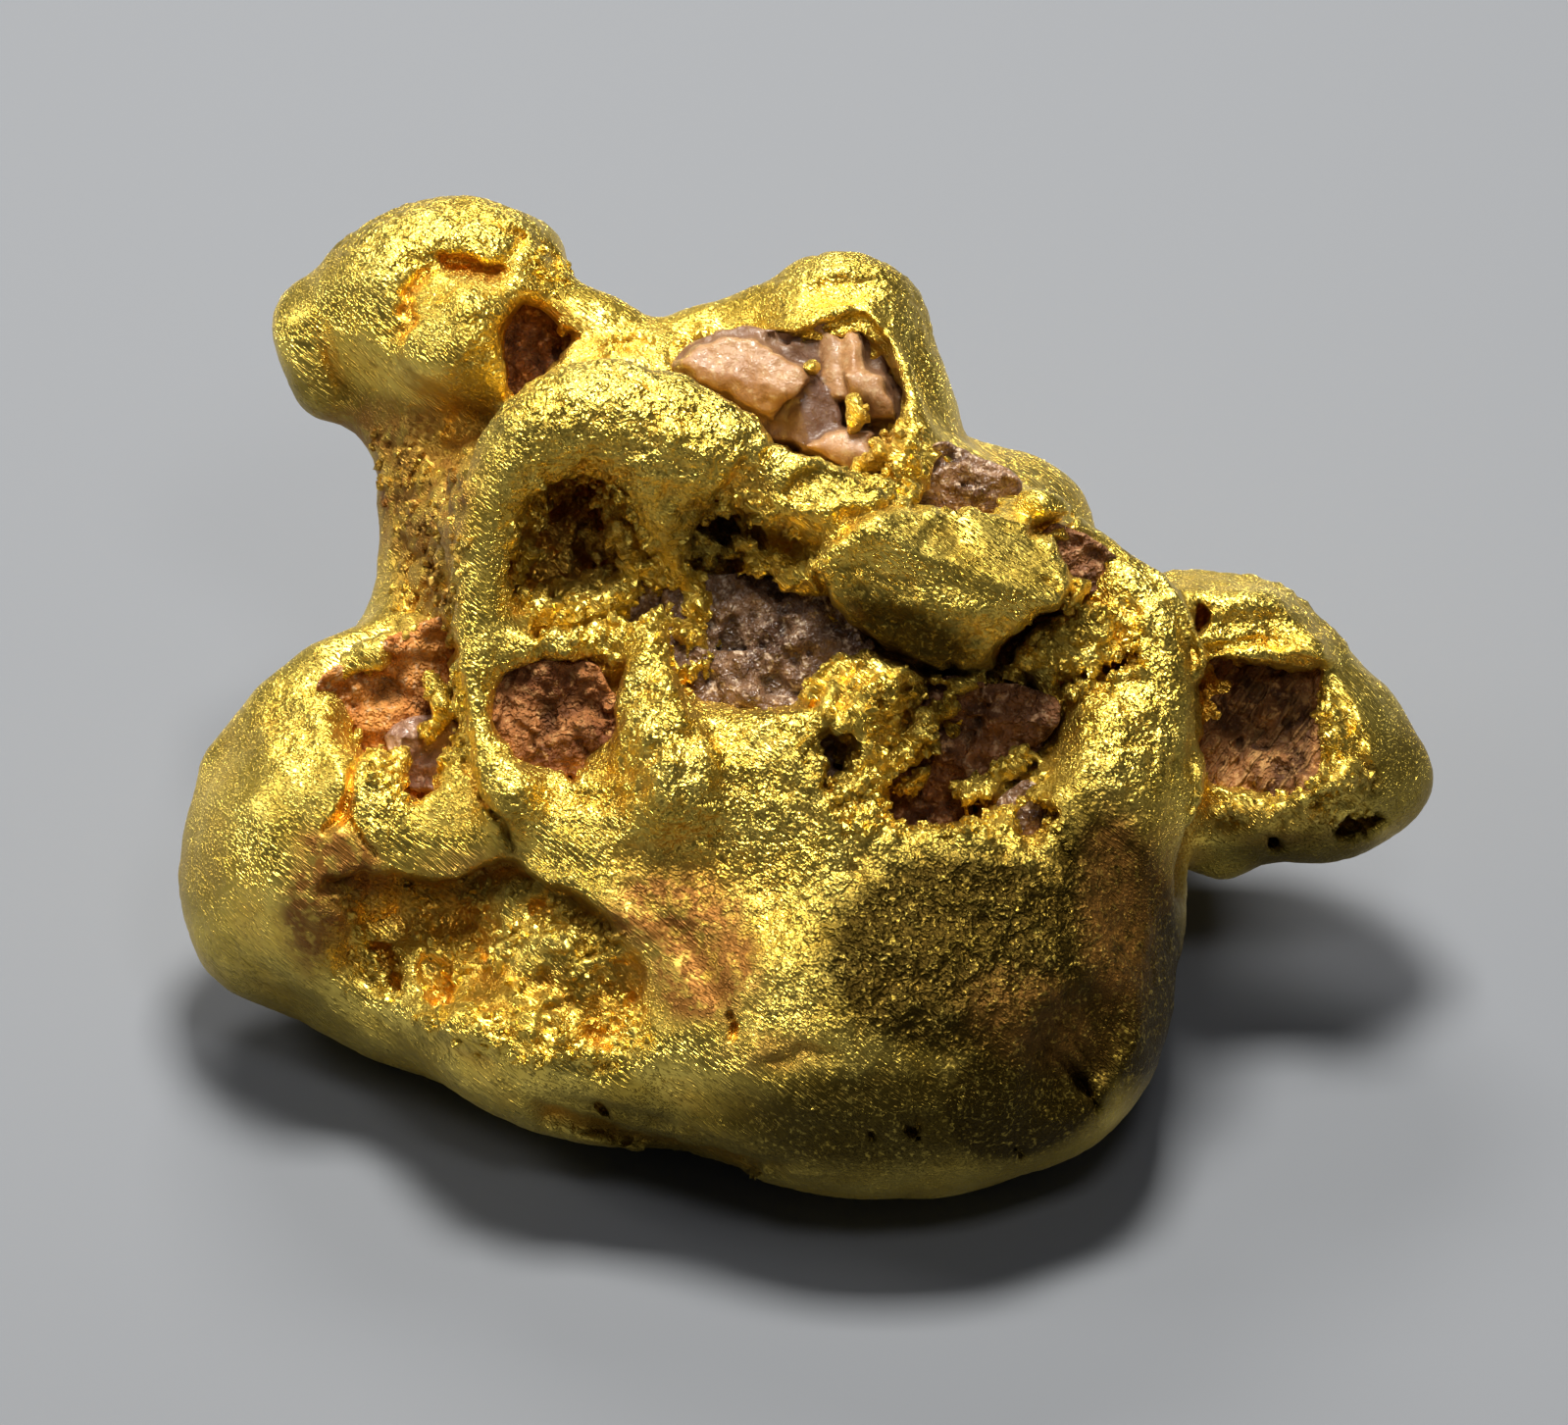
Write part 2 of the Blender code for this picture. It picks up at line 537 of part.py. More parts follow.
def make_grains(nugget, cutters):
    """The grains of rock, each with its own material."""
    shapes = list(quartz_lumps(0.0))
    quartz = new_object("quartz_top", shapes[0], nugget)
    combine(quartz, shapes[1:], "UNION", cutters)
    grains = [(quartz, PALE_QUARTZ)]
    for floor, outline, grain in PITS:
        if grain:
            name, finish, top = grain
            grains.append((new_object(name, pit_grain(name, floor, outline, top), nugget), finish))
    for grain, finish in grains:
        grain.data.materials.clear()
        grain.data.materials.append(mineral(grain.name, finish))


def main():
    """Clears the scene and models the nugget."""
    for thing in list(bpy.data.objects):
        bpy.data.objects.remove(thing)
    nugget = new_collection("gold nugget")
    cutters = new_collection("cutters")
    make_gold(nugget, cutters)
    make_grains(nugget, cutters)


main()
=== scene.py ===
"""Looks of a natural gold nugget with quartz and ironstone in its pits.

Lengths are in millimetres until a finished piece is made, which is in metres. The broad face of the nugget
leans back from upright, and its features are kept on a chart of that face, in fiftieths of a millimetre:
right and down from the chart's corner. Depth is told by how far out of the face a place lies.
"""

import itertools
import math

import bmesh
import bpy
import numpy as np
import openvdb
from mathutils import Matrix, Vector


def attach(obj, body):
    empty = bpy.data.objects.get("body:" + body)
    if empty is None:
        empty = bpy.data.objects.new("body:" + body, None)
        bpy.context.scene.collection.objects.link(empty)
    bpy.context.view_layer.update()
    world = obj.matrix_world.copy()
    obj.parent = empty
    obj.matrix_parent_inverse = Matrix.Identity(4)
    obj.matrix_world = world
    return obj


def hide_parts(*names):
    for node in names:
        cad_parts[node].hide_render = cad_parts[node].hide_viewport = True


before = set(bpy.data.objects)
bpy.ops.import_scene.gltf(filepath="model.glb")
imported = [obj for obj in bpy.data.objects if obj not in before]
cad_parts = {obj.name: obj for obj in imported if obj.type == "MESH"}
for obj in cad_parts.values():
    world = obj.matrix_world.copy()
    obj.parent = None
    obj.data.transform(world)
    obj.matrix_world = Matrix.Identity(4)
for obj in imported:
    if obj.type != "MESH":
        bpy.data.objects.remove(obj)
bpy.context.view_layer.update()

MM = 0.001
FACE_LEAN = math.radians(42)  # how far the broad face leans back from upright
FACE_HEIGHT = 9.8  # height of the middle of the face above the ground
FACE_BACK = -3.4  # its place along Y
CHART_MIDDLE = (820, 720)  # the middle of the face on the chart
CHART_STEPS = 50  # chart steps in a millimetre
GRID = 0.08  # spacing of the grid that solids are shaped on
BAND = 1.3  # depth to which a solid is measured either side of its surface
FRONT_REACH = 1.6  # how deep below the front surface a pressed mark is felt
CHART_REACH = int(16 / GRID)  # grid steps from the middle of the chart to its sides
GOLD_TRIANGLES = 190000
ROCK_TRIANGLES = 24000
THIN_BALANCE = 0.06  # how much more readily the hidden sides are thinned

OUTERMOST, INNERMOST = 3.5, -9.0  # levels out of the face beyond everything on its front
FAR = 99.0  # further than anything here
GOLD_SOFTNESS, ROCK_SOFTNESS = 0.14, 0.04  # how far edges are rounded before the fine work
LEAST_SHARE = 0.01  # weight of the parts that are thinned least
HOLE_DEPTH = 0.6  # depth of the holes in the floor of the left hollow
LEAST_CRUMBLY = 0.11  # crumbs lie only where the crumbly gold stands further than this
PIT_SEED, LUMP_SEED, HOLE_SEED, ROCK_SEED, CRUMBLY_SEED, ROLL_SEED = 20, 60, 90, 100, 130, 400
CRUMBS_PER_AREA = 2.4e7  # crumbs on a square metre of the crumbliest gold
CRUMB_SIZES = (0.13, 0.34)
CRUMB_SEED = 5
WHOLE_TURN = 6.28
RELIEF = 0.00005  # height of the fine relief of the gold, in metres

# The room, in metres
FLOOR_HALF = 0.6
CAMERA_DISTANCE = 0.4
PICTURE_WIDTH = 0.03198  # width of the picture at the middle of the face
PICTURE_MIDDLE = (-0.41, -0.13, 0.0)  # what the camera looks at: across, up and out of the face, in mm
SENSOR_WIDTH = 36  # of the camera, in mm
LIGHTS = (  # name, place, width and height, power, colour
    ("key panel", (0.0, 0.032, 0.145), (0.046, 0.038), 0.35, (1.0, 0.96, 0.87)),
    ("back panel", (-0.025, 0.115, 0.105), (0.07, 0.036), 0.13, (1.0, 0.96, 0.89)),
    ("left panel", (-0.13, 0.02, 0.105), (0.036, 0.05), 0.042, (1.0, 0.95, 0.87)),
    ("front panel", (0.025, -0.065, 0.14), (0.03, 0.03), 0.034, (1.0, 0.97, 0.92)),
)

# ---------------------------------------------------------------- places


def chart(points):
    """Chart points as (across, up) in mm."""
    points = np.array(points, float)
    return np.stack(
        [(points[:, 0] - CHART_MIDDLE[0]) / CHART_STEPS, (CHART_MIDDLE[1] - points[:, 1]) / CHART_STEPS], 1
    )


def to_face(points):
    """Places (x, y, z) in mm as (across, up, out)."""
    back, high = points[:, 1] - FACE_BACK, points[:, 2] - FACE_HEIGHT
    lean, rise = math.sin(FACE_LEAN), math.cos(FACE_LEAN)
    return np.stack([points[:, 0], back * lean + high * rise, high * lean - back * rise], 1)


def from_face(places):
    """Places (across, up, out) as (x, y, z) in mm."""
    lean, rise = math.sin(FACE_LEAN), math.cos(FACE_LEAN)
    back = places[:, 1] * lean - places[:, 2] * rise + FACE_BACK
    high = places[:, 1] * rise + places[:, 2] * lean + FACE_HEIGHT
    return np.stack([places[:, 0], back, high], 1)


# ---------------------------------------------------------------- natural roughness

CORNERS = np.array(list(itertools.product((0, 1), repeat=3)))
NEIGHBOURS = np.array(list(itertools.product((-1, 0, 1), repeat=3)))


def scramble(cells, seed):
    """A fixed random-looking whole number for each cell of a grid."""
    key = cells[..., 0] * 73856093 ^ cells[..., 1] * 19349663 ^ cells[..., 2] * 83492791 ^ seed * 2654435761
    key = (key ^ (key >> 13)) * 1274126177
    return (key ^ (key >> 16)) & 0xFFFF


def swells(places, size, seed):
    """Smooth noise, about -1 to 1, with swells of this size in mm."""
    scaled = places / size
    cell = np.floor(scaled).astype(np.int64)
    part = scaled - cell
    eased = part * part * part * (part * (part * 6 - 15) + 10)
    total = np.zeros(len(places))
    for corner in CORNERS:
        key = scramble(cell + corner, seed)
        turn = key * (2 * math.pi / 65536)
        tilt = (key % 251) / 125.0 - 1.0
        flat = np.sqrt(1 - tilt * tilt)
        gap = part - corner
        slope = gap[:, 0] * np.cos(turn) * flat + gap[:, 1] * np.sin(turn) * flat + gap[:, 2] * tilt
        share = np.where(corner, eased, 1 - eased).prod(1)
        total += slope * share
    return total * 1.7


def grains(places, size, seed):
    """Packed grains of this size: the gap to the nearest grain's middle, the offset from it, and a number for
    that grain."""
    scaled = places / size
    cell = np.floor(scaled).astype(np.int64)
    near = np.full(len(places), 9.0)
    offset = np.zeros((len(places), 3))
    name = np.zeros(len(places), np.int64)
    for step in NEIGHBOURS:
        other = cell + step
        key = scramble(other, seed)
        middle = other + np.stack([key % 97 / 97, key // 97 % 101 / 101, key // 9797 % 7 / 7], 1)
        away = scaled - middle
        gap = np.sqrt((away * away).sum(1))
        closer = gap < near
        near = np.where(closer, gap, near)
        offset[closer] = away[closer]
        name = np.where(closer, key, name)
    return near, offset, name


def chips(places, size, seed):
    """Broken facets, about -1 to 1: each grain has its own level and its own tilt."""
    near, offset, name = grains(places, size, seed)
    turn = name * (2 * math.pi / 65536)
    level = name % 89 / 44.5 - 1
    tilt = offset[:, 0] * np.cos(turn) + offset[:, 1] * np.sin(turn) + offset[:, 2] * np.cos(turn * 3)
    return 0.55 * level + 0.9 * tilt


def crumbs(places, size, seed):
    """Rounded lumps packed together, about -1 to 1."""
    near, offset, name = grains(places, size, seed)
    return 1.2 * (near - 0.55) + 0.5 * (name % 89 / 44.5 - 1) + 0.5 * swells(places, size * 0.45, seed + 1)


def ease(value, low, high):
    """0 below low, 1 above high and smooth between."""
    share = np.clip((value - low) / (high - low), 0, 1)
    return share * share * (3 - 2 * share)


def turned(across, up, degrees):
    """Offsets across and up, as seen along and over a line turned by so many degrees."""
    angle = math.radians(degrees)
    return across * math.cos(angle) + up * math.sin(angle), up * math.cos(angle) - across * math.sin(angle)


# ---------------------------------------------------------------- things of the scene


def put_in_scene(name, data):
    thing = bpy.data.objects.new(name, data)
    bpy.context.scene.collection.objects.link(thing)
    return thing


def made_plain(thing):
    """A plain mesh of what a thing's modifiers make of it."""
    return bpy.data.meshes.new_from_object(thing.evaluated_get(bpy.context.evaluated_depsgraph_get()))


# ---------------------------------------------------------------- solids on a grid


def own_mesh(node):
    """Corners (mm along the face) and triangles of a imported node, with its loose triangles joined."""
    joined = bmesh.new()
    joined.from_mesh(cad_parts[node].data)
    bmesh.ops.remove_doubles(joined, verts=joined.verts, dist=1e-7)
    bmesh.ops.triangulate(joined, faces=joined.faces)
    corners = np.array([v.co for v in joined.verts]) / MM
    triangles = np.array([[v.index for v in f.verts] for f in joined.faces])
    joined.free()
    return to_face(corners), triangles


def rounded(corners, triangles, levels):
    """The same surface with its facets rounded off."""
    mesh = bpy.data.meshes.new("rounding")
    mesh.from_pydata(corners.tolist(), [], triangles.tolist())
    thing = put_in_scene("rounding", mesh)
    smooth = thing.modifiers.new("rounding", "SUBSURF")
    smooth.levels = levels
    smooth.render_levels = levels
    smoothed = made_plain(thing)
    smoothed.calc_loop_triangles()
    corners = read_corners(smoothed)
    triangles = np.zeros(len(smoothed.loop_triangles) * 3, np.int32)
    smoothed.loop_triangles.foreach_get("vertices", triangles)
    bpy.data.objects.remove(thing)
    bpy.data.meshes.remove(mesh)
    bpy.data.meshes.remove(smoothed)
    return corners, triangles.reshape(-1, 3)


def read_corners(mesh):
    corners = np.zeros(len(mesh.vertices) * 3, np.float32)
    mesh.vertices.foreach_get("co", corners)
    return corners.reshape(-1, 3).astype(float)


def strayed():
    """Every (across, up) of the whole chart, strayed a little here and there."""
    steps = np.arange(-CHART_REACH, CHART_REACH + 1) * GRID
    grid = np.stack(np.meshgrid(steps, steps, indexing="ij"), -1)
    flat = np.concatenate([grid.reshape(-1, 2), np.zeros((len(steps) ** 2, 1))], 1)
    shift = [0.07 * swells(flat, 0.55, 11 + k) + 0.05 * swells(flat, 0.23, 13 + k) for k in (0, 5)]
    return grid + np.stack(shift, -1).reshape(grid.shape)


STRAYED = strayed()


class Solid:
    """A solid as depths on a grid along the face: mm, below zero inside."""

    def __init__(self, low, depth):
        self.low = np.array(low)
        self.depth = depth

    def axis(self, which):
        return (self.low[which] + np.arange(self.depth.shape[which])) * GRID

    def part(self, low, high):
        """The part of it between two places, sharing the same depths."""
        start = np.clip(np.floor(np.array(low) / GRID).astype(int) - self.low, 0, self.depth.shape)
        stop = np.clip(np.ceil(np.array(high) / GRID).astype(int) + 1 - self.low, 0, self.depth.shape)
        return Solid(self.low + start, self.depth[start[0]:stop[0], start[1]:stop[1], start[2]:stop[2]])

    def places(self):
        """Every grid place of it, as one long list."""
        grid = np.meshgrid(self.axis(0), self.axis(1), self.axis(2), indexing="ij")
        return np.stack(grid, -1).reshape(-1, 3)

    def wide(self):
        """Every (across, up) of it, strayed a little, which makes every drawn line ragged."""
        start = self.low[:2] + CHART_REACH
        stop = start + self.depth.shape[:2]
        return STRAYED[start[0]:stop[0], start[1]:stop[1]]

    def front(self):
        """How far out the front surface lies at every (across, up)."""
        inside = self.depth < 0
        last = self.depth.shape[2] - 1
        top = last - np.argmax(inside[:, :, ::-1], axis=2)
        top = np.minimum(top, last - 1)
        here = np.take_along_axis(self.depth, top[..., None], 2)[..., 0]
        over = np.take_along_axis(self.depth, top[..., None] + 1, 2)[..., 0]
        level = (self.low[2] + top + np.clip(here / np.minimum(here - over, -1e-6), 0, 1)) * GRID
        return np.where(inside.any(2), level, -FAR)

    def sample_front(self, outline):
        """How far out the front surface lies in the middle of an outline."""
        spot = np.round(chart(outline).mean(0) / GRID).astype(int) - self.low[:2]
        return Solid(self.low, self.depth[spot[0]:spot[0] + 1, spot[1]:spot[1] + 1]).front()[0, 0]

    def soften(self, reach):
        """Rounds everything smaller than the reach."""
        self.depth[:] = blurred(self.depth, reach / GRID)

    def sample(self, places):
        """Depth at any places."""
        spot = np.clip(places / GRID - self.low, 0, np.array(self.depth.shape) - 1.001)
        cell = spot.astype(int)
        part = spot - cell
        total = np.zeros(len(places))
        for corner in CORNERS:
            at = cell + corner
            total += self.depth[at[:, 0], at[:, 1], at[:, 2]] * np.where(corner, part, 1 - part).prod(1)
        return total


def blurred(values, reach):
    """Values smoothed over a reach of so many grid steps."""
    taps = np.arange(-int(reach * 2.5 + 1), int(reach * 2.5 + 1) + 1)
    weights = np.exp(-0.5 * (taps / reach) ** 2)
    weights = (weights / weights.sum()).astype(values.dtype)
    for axis in range(values.ndim):
        edges = [(0, 0)] * values.ndim
        edges[axis] = (len(taps) // 2,) * 2
        padded = np.pad(values, edges, "edge")
        total = np.zeros_like(values)
        for tap, weight in enumerate(weights):
            window = [slice(None)] * values.ndim
            window[axis] = slice(tap, tap + values.shape[axis])
            total += padded[tuple(window)] * weight
        values = total
    return values


def solid_of(corners, triangles, room=0.6):
    """The solid inside a closed surface, with some room round it."""
    transform = openvdb.createLinearTransform(voxelSize=GRID)
    level = openvdb.FloatGrid.createLevelSetFromPolygons(
        corners.astype(np.float64), triangles=triangles.astype(np.uint32), transform=transform,
        halfWidth=BAND / GRID,
    )
    low, high = level.evalActiveVoxelBoundingBox()
    extra = int(room / GRID)
    low = np.array(low) - extra
    shape = np.array(high) + extra + 1 - low
    depth = np.full(shape, level.background, np.float32)
    level.copyToArray(depth, ijk=tuple(int(i) for i in low))
    return Solid(low, depth)


def surface_of(solid):
    """Corners and four-sided faces of a solid's surface."""
    grid = openvdb.FloatGrid(float(BAND))
    grid.transform = openvdb.createLinearTransform(voxelSize=GRID)
    grid.copyFromArray(solid.depth.astype(np.float32), ijk=tuple(int(i) for i in solid.low))
    corners, faces = grid.convertToQuads(isovalue=0.0)
    return corners.astype(float), faces


# ---------------------------------------------------------------- marks on the face


def outline_gap(outline, wide):
    """Signed gap in mm from every (across, up) to a closed outline on the chart, below zero inside it."""
    ring = chart(outline)
    nearest = np.full(wide.shape[:2], FAR)
    inside = np.zeros(wide.shape[:2], bool)
    for start, end in zip(ring, np.roll(ring, -1, 0)):
        nearest = np.minimum(nearest, line_gap(start, end, wide)[0])
        crosses = (start[1] > wide[..., 1]) != (end[1] > wide[..., 1])
        rise = end[1] - start[1]
        rise = rise if abs(rise) > 1e-9 else 1e-9
        reach = (end[0] - start[0]) * (wide[..., 1] - start[1]) / rise + start[0]
        inside ^= crosses & (wide[..., 0] < reach)
    return np.where(inside, -nearest, nearest)


def line_gap(start, end, wide):
    """Gap in mm from every (across, up) to a straight line, and how far along the line the nearest point is."""
    along = end - start
    away = wide - start
    share = np.clip((away @ along) / max(along @ along, 1e-9), 0, 1)
    return np.linalg.norm(away - share[..., None] * along, axis=-1), share


def stretches(run, wide):
    """Each straight stretch of a run of chart points: its ends, the gap to it from every (across, up), and the
    run's other numbers there."""
    run = np.array(run, float)
    points = chart(run[:, :2])
    for start, end, here, there in zip(points, points[1:], run, run[1:]):
        gap, share = line_gap(start, end, wide)
        yield start, end, gap, [here[k] + (there[k] - here[k]) * share for k in range(2, len(here))]


def mark_depth(run, wide):
    """A groove's depth at every (across, up): run is chart points with the half width and the depth there."""
    total = np.zeros(wide.shape[:2])
    for start, end, gap, (width, deep) in stretches(run, wide):
        bowl = np.clip(1 - (gap / np.maximum(width, 1e-3)) ** 2, 0, 1) ** 2 * deep
        total = np.where(np.abs(bowl) > np.abs(total), bowl, total)
    return total


def press(solid, field):
    """Presses a field of depths (mm at every across and up) into the front surface; below zero it raises it."""
    used = np.argwhere(np.abs(field) > 1e-3)
    if not len(used):
        return
    (a0, u0), (a1, u1) = used.min(0), used.max(0) + 1
    block = solid.depth[a0:a1, u0:u1]
    level = Solid(solid.low + (a0, u0, 0), block).front()
    out = solid.axis(2)
    felt = ease(out[None, None, :], (level - FRONT_REACH)[..., None], (level - FRONT_REACH + 0.8)[..., None])
    block += (field[a0:a1, u0:u1, None] * felt).astype(np.float32)


def step_down(run, wide, sharp=0.12, fade=0.8):
    """A ledge: run is chart points, left to right, with the drop there. The surface drops just below the run
    and comes back up over the fade."""
    nearest = np.full(wide.shape[:2], FAR)
    total = np.zeros(wide.shape[:2])
    for start, end, gap, (drop,) in stretches(run, wide):
        along, away = end - start, wide - start
        side = -(along[0] * away[..., 1] - along[1] * away[..., 0]) / np.linalg.norm(along)
        below = np.where(side > 0, gap, -gap)
        field = drop * ease(below, -sharp / 2, sharp / 2) * (1 - ease(below, sharp, fade))
        total = np.where(gap < nearest, field, total)
        nearest = np.minimum(nearest, gap)
    return total


def roof_face(wide, ridge, level, above, below):
    """Level out of a face that bends along a ridge line: how steeply it falls back above and below the line."""
    start, end = chart(ridge)
    along = (end - start) / np.linalg.norm(end - start)
    away = wide - start
    over = along[0] * away[..., 1] - along[1] * away[..., 0]
    share = np.clip((away @ along) / np.linalg.norm(end - start), -0.3, 1.3)
    crest = level[0] + (level[1] - level[0]) * share
    return crest - above * np.maximum(over, 0) - below * np.maximum(-over, 0)


def add_roof(solid, outline, ridge, level, above, below, thick, blend=0.12, flare=0.3):
    """Adds a plate with this outline, whose front bends along a ridge line."""
    part = near_outline(solid, outline, 1.4, min(level) - thick - 2.5)
    wide = part.wide()
    out = part.axis(2)[None, None, :]
    face = roof_face(wide, ridge, level, above, below)[..., None]
    steep = math.sqrt(1 + max(above, below) ** 2)
    front = (out - face) / steep
    walls = outline_gap(outline, wide)[..., None] - flare * np.clip(face - out, 0, 2.5)
    plate = softest(softest(walls, front, blend), face - thick - out, 0.1)
    part.depth[:] = -softest(-part.depth, -plate, 0.12)


def shave(solid, outline, ridge, level, above, below, blend=0.05):
    """Cuts the front of what lies inside an outline to one or two flats that meet on a ridge line."""
    part = near_outline(solid, outline, 0.3, min(level) - 3)
    wide = part.wide()
    face = roof_face(wide, ridge, level, above, below)[..., None]
    steep = math.sqrt(1 + max(above, below) ** 2)
    beyond = np.maximum(outline_gap(outline, wide), 0)[..., None]
    cut = (part.axis(2)[None, None, :] - face) / steep - 2.5 * beyond
    part.depth[:] = softest(part.depth, cut, blend)


def near_outline(solid, outline, margin, low):
    """The part of a solid round an outline, from a level outwards."""
    ring = chart(outline)
    return solid.part((*(ring.min(0) - margin), low), (*(ring.max(0) + margin), OUTERMOST))


def cut_pit(solid, outline, floor, ragged, seed, flare=0.15):
    """Cuts a pit with ragged, crumbling walls and a rough floor."""
    part = near_outline(solid, outline, 1.2, floor - 1)
    out = part.axis(2)[None, None, :]
    walls = outline_gap(outline, part.wide())[..., None] - flare * np.clip((out - floor) * 0.12, 0, 0.6)
    bottom = np.broadcast_to(floor - out, walls.shape)
    pit = np.maximum(walls, bottom)
    close = np.abs(pit) < 0.6
    places = part.places()[close.reshape(-1)]
    wander = ragged * (swells(places, 0.7, seed) * 0.6 + swells(places, 0.28, seed + 1) * 0.5)
    crumbly = crumbs(places, 0.42, seed + 2) + 0.5 * crumbs(places, 0.2, seed + 3)
    pit[close] = np.maximum(walls[close] + wander, bottom[close] + 2 * wander) + ragged * (crumbly + 0.2)
    part.depth[:] = softest(part.depth, -pit, 0.04)


def softest(one, other, blend):
    """The larger of two depths, with a small blend where they meet."""
    near = np.clip(0.5 + 0.5 * (one - other) / blend, 0, 1)
    return other + (one - other) * near + blend * near * (1 - near)


def add_lump(solid, middle, radii, turn, seed, rough=0.09, blend=0.15):
    """Adds a lump: chart point and level out of its middle, radii in mm, turned in degrees."""
    at = np.array([*chart([middle[:2]])[0], middle[2]])
    reach = max(radii) + 0.8
    part = solid.part(at - reach, at + reach)
    places = part.places()
    away = places - at
    scaled = np.stack([*turned(away[:, 0], away[:, 1], turn), away[:, 2]], 1) / np.array(radii)
    size = np.sqrt((scaled * scaled).sum(1))
    slope = np.sqrt(((scaled / np.array(radii)) ** 2).sum(1))
    lump = size * (size - 1) / np.maximum(slope, 1e-6)
    lump += rough * (swells(places, 0.45, seed) + 0.6 * swells(places, 0.2, seed + 1))
    lump = lump.reshape(part.depth.shape)
    part.depth[:] = -softest(-part.depth, -lump, blend)


def add_roll(solid, run, seed, rough=0.14, blend=0.12):
    """Adds a roll of gold along a run of chart points, each with its level out and its radius in mm."""
    run = np.array(run, float)
    points = np.concatenate([chart(run[:, :2]), run[:, 2:3]], 1)
    reach = run[:, 3].max() + 0.6
    part = solid.part(points.min(0) - reach, points.max(0) + reach)
    places = part.places()
    roll = np.full(len(places), 9.0)
    for i in range(len(run) - 1):
        along = points[i + 1] - points[i]
        away = places - points[i]
        share = np.clip(away @ along / max(along @ along, 1e-9), 0, 1)
        radius = run[i, 3] + (run[i + 1, 3] - run[i, 3]) * share
        gap = np.linalg.norm(away - share[:, None] * along, axis=1) - radius
        roll = np.minimum(roll, gap)
    near = np.abs(roll) < 0.6
    roll[near] += rough * (swells(places[near], 0.5, seed) + 0.7 * swells(places[near], 0.22, seed + 1))
    part.depth[:] = -softest(-part.depth, -roll.reshape(part.depth.shape), blend)


def roughen(solid, outline, size, stand, seed, fade=0.3):
    """Gives the surface inside an outline a grain of crumbs of this size, which stand so far."""
    part = near_outline(solid, outline, fade, INNERMOST)
    strength = 1 - ease(outline_gap(outline, part.wide()), -fade, fade * 0.5)
    close = np.abs(part.depth) < 0.5
    close &= (strength > 0.01)[..., None]
    places = part.places()[close.reshape(-1)]
    felt = np.broadcast_to(strength[..., None], part.depth.shape)[close]
    part.depth[close] += (stand * crumbs(places, size, seed)).astype(np.float32) * felt


# ---------------------------------------------------------------- the gold's features

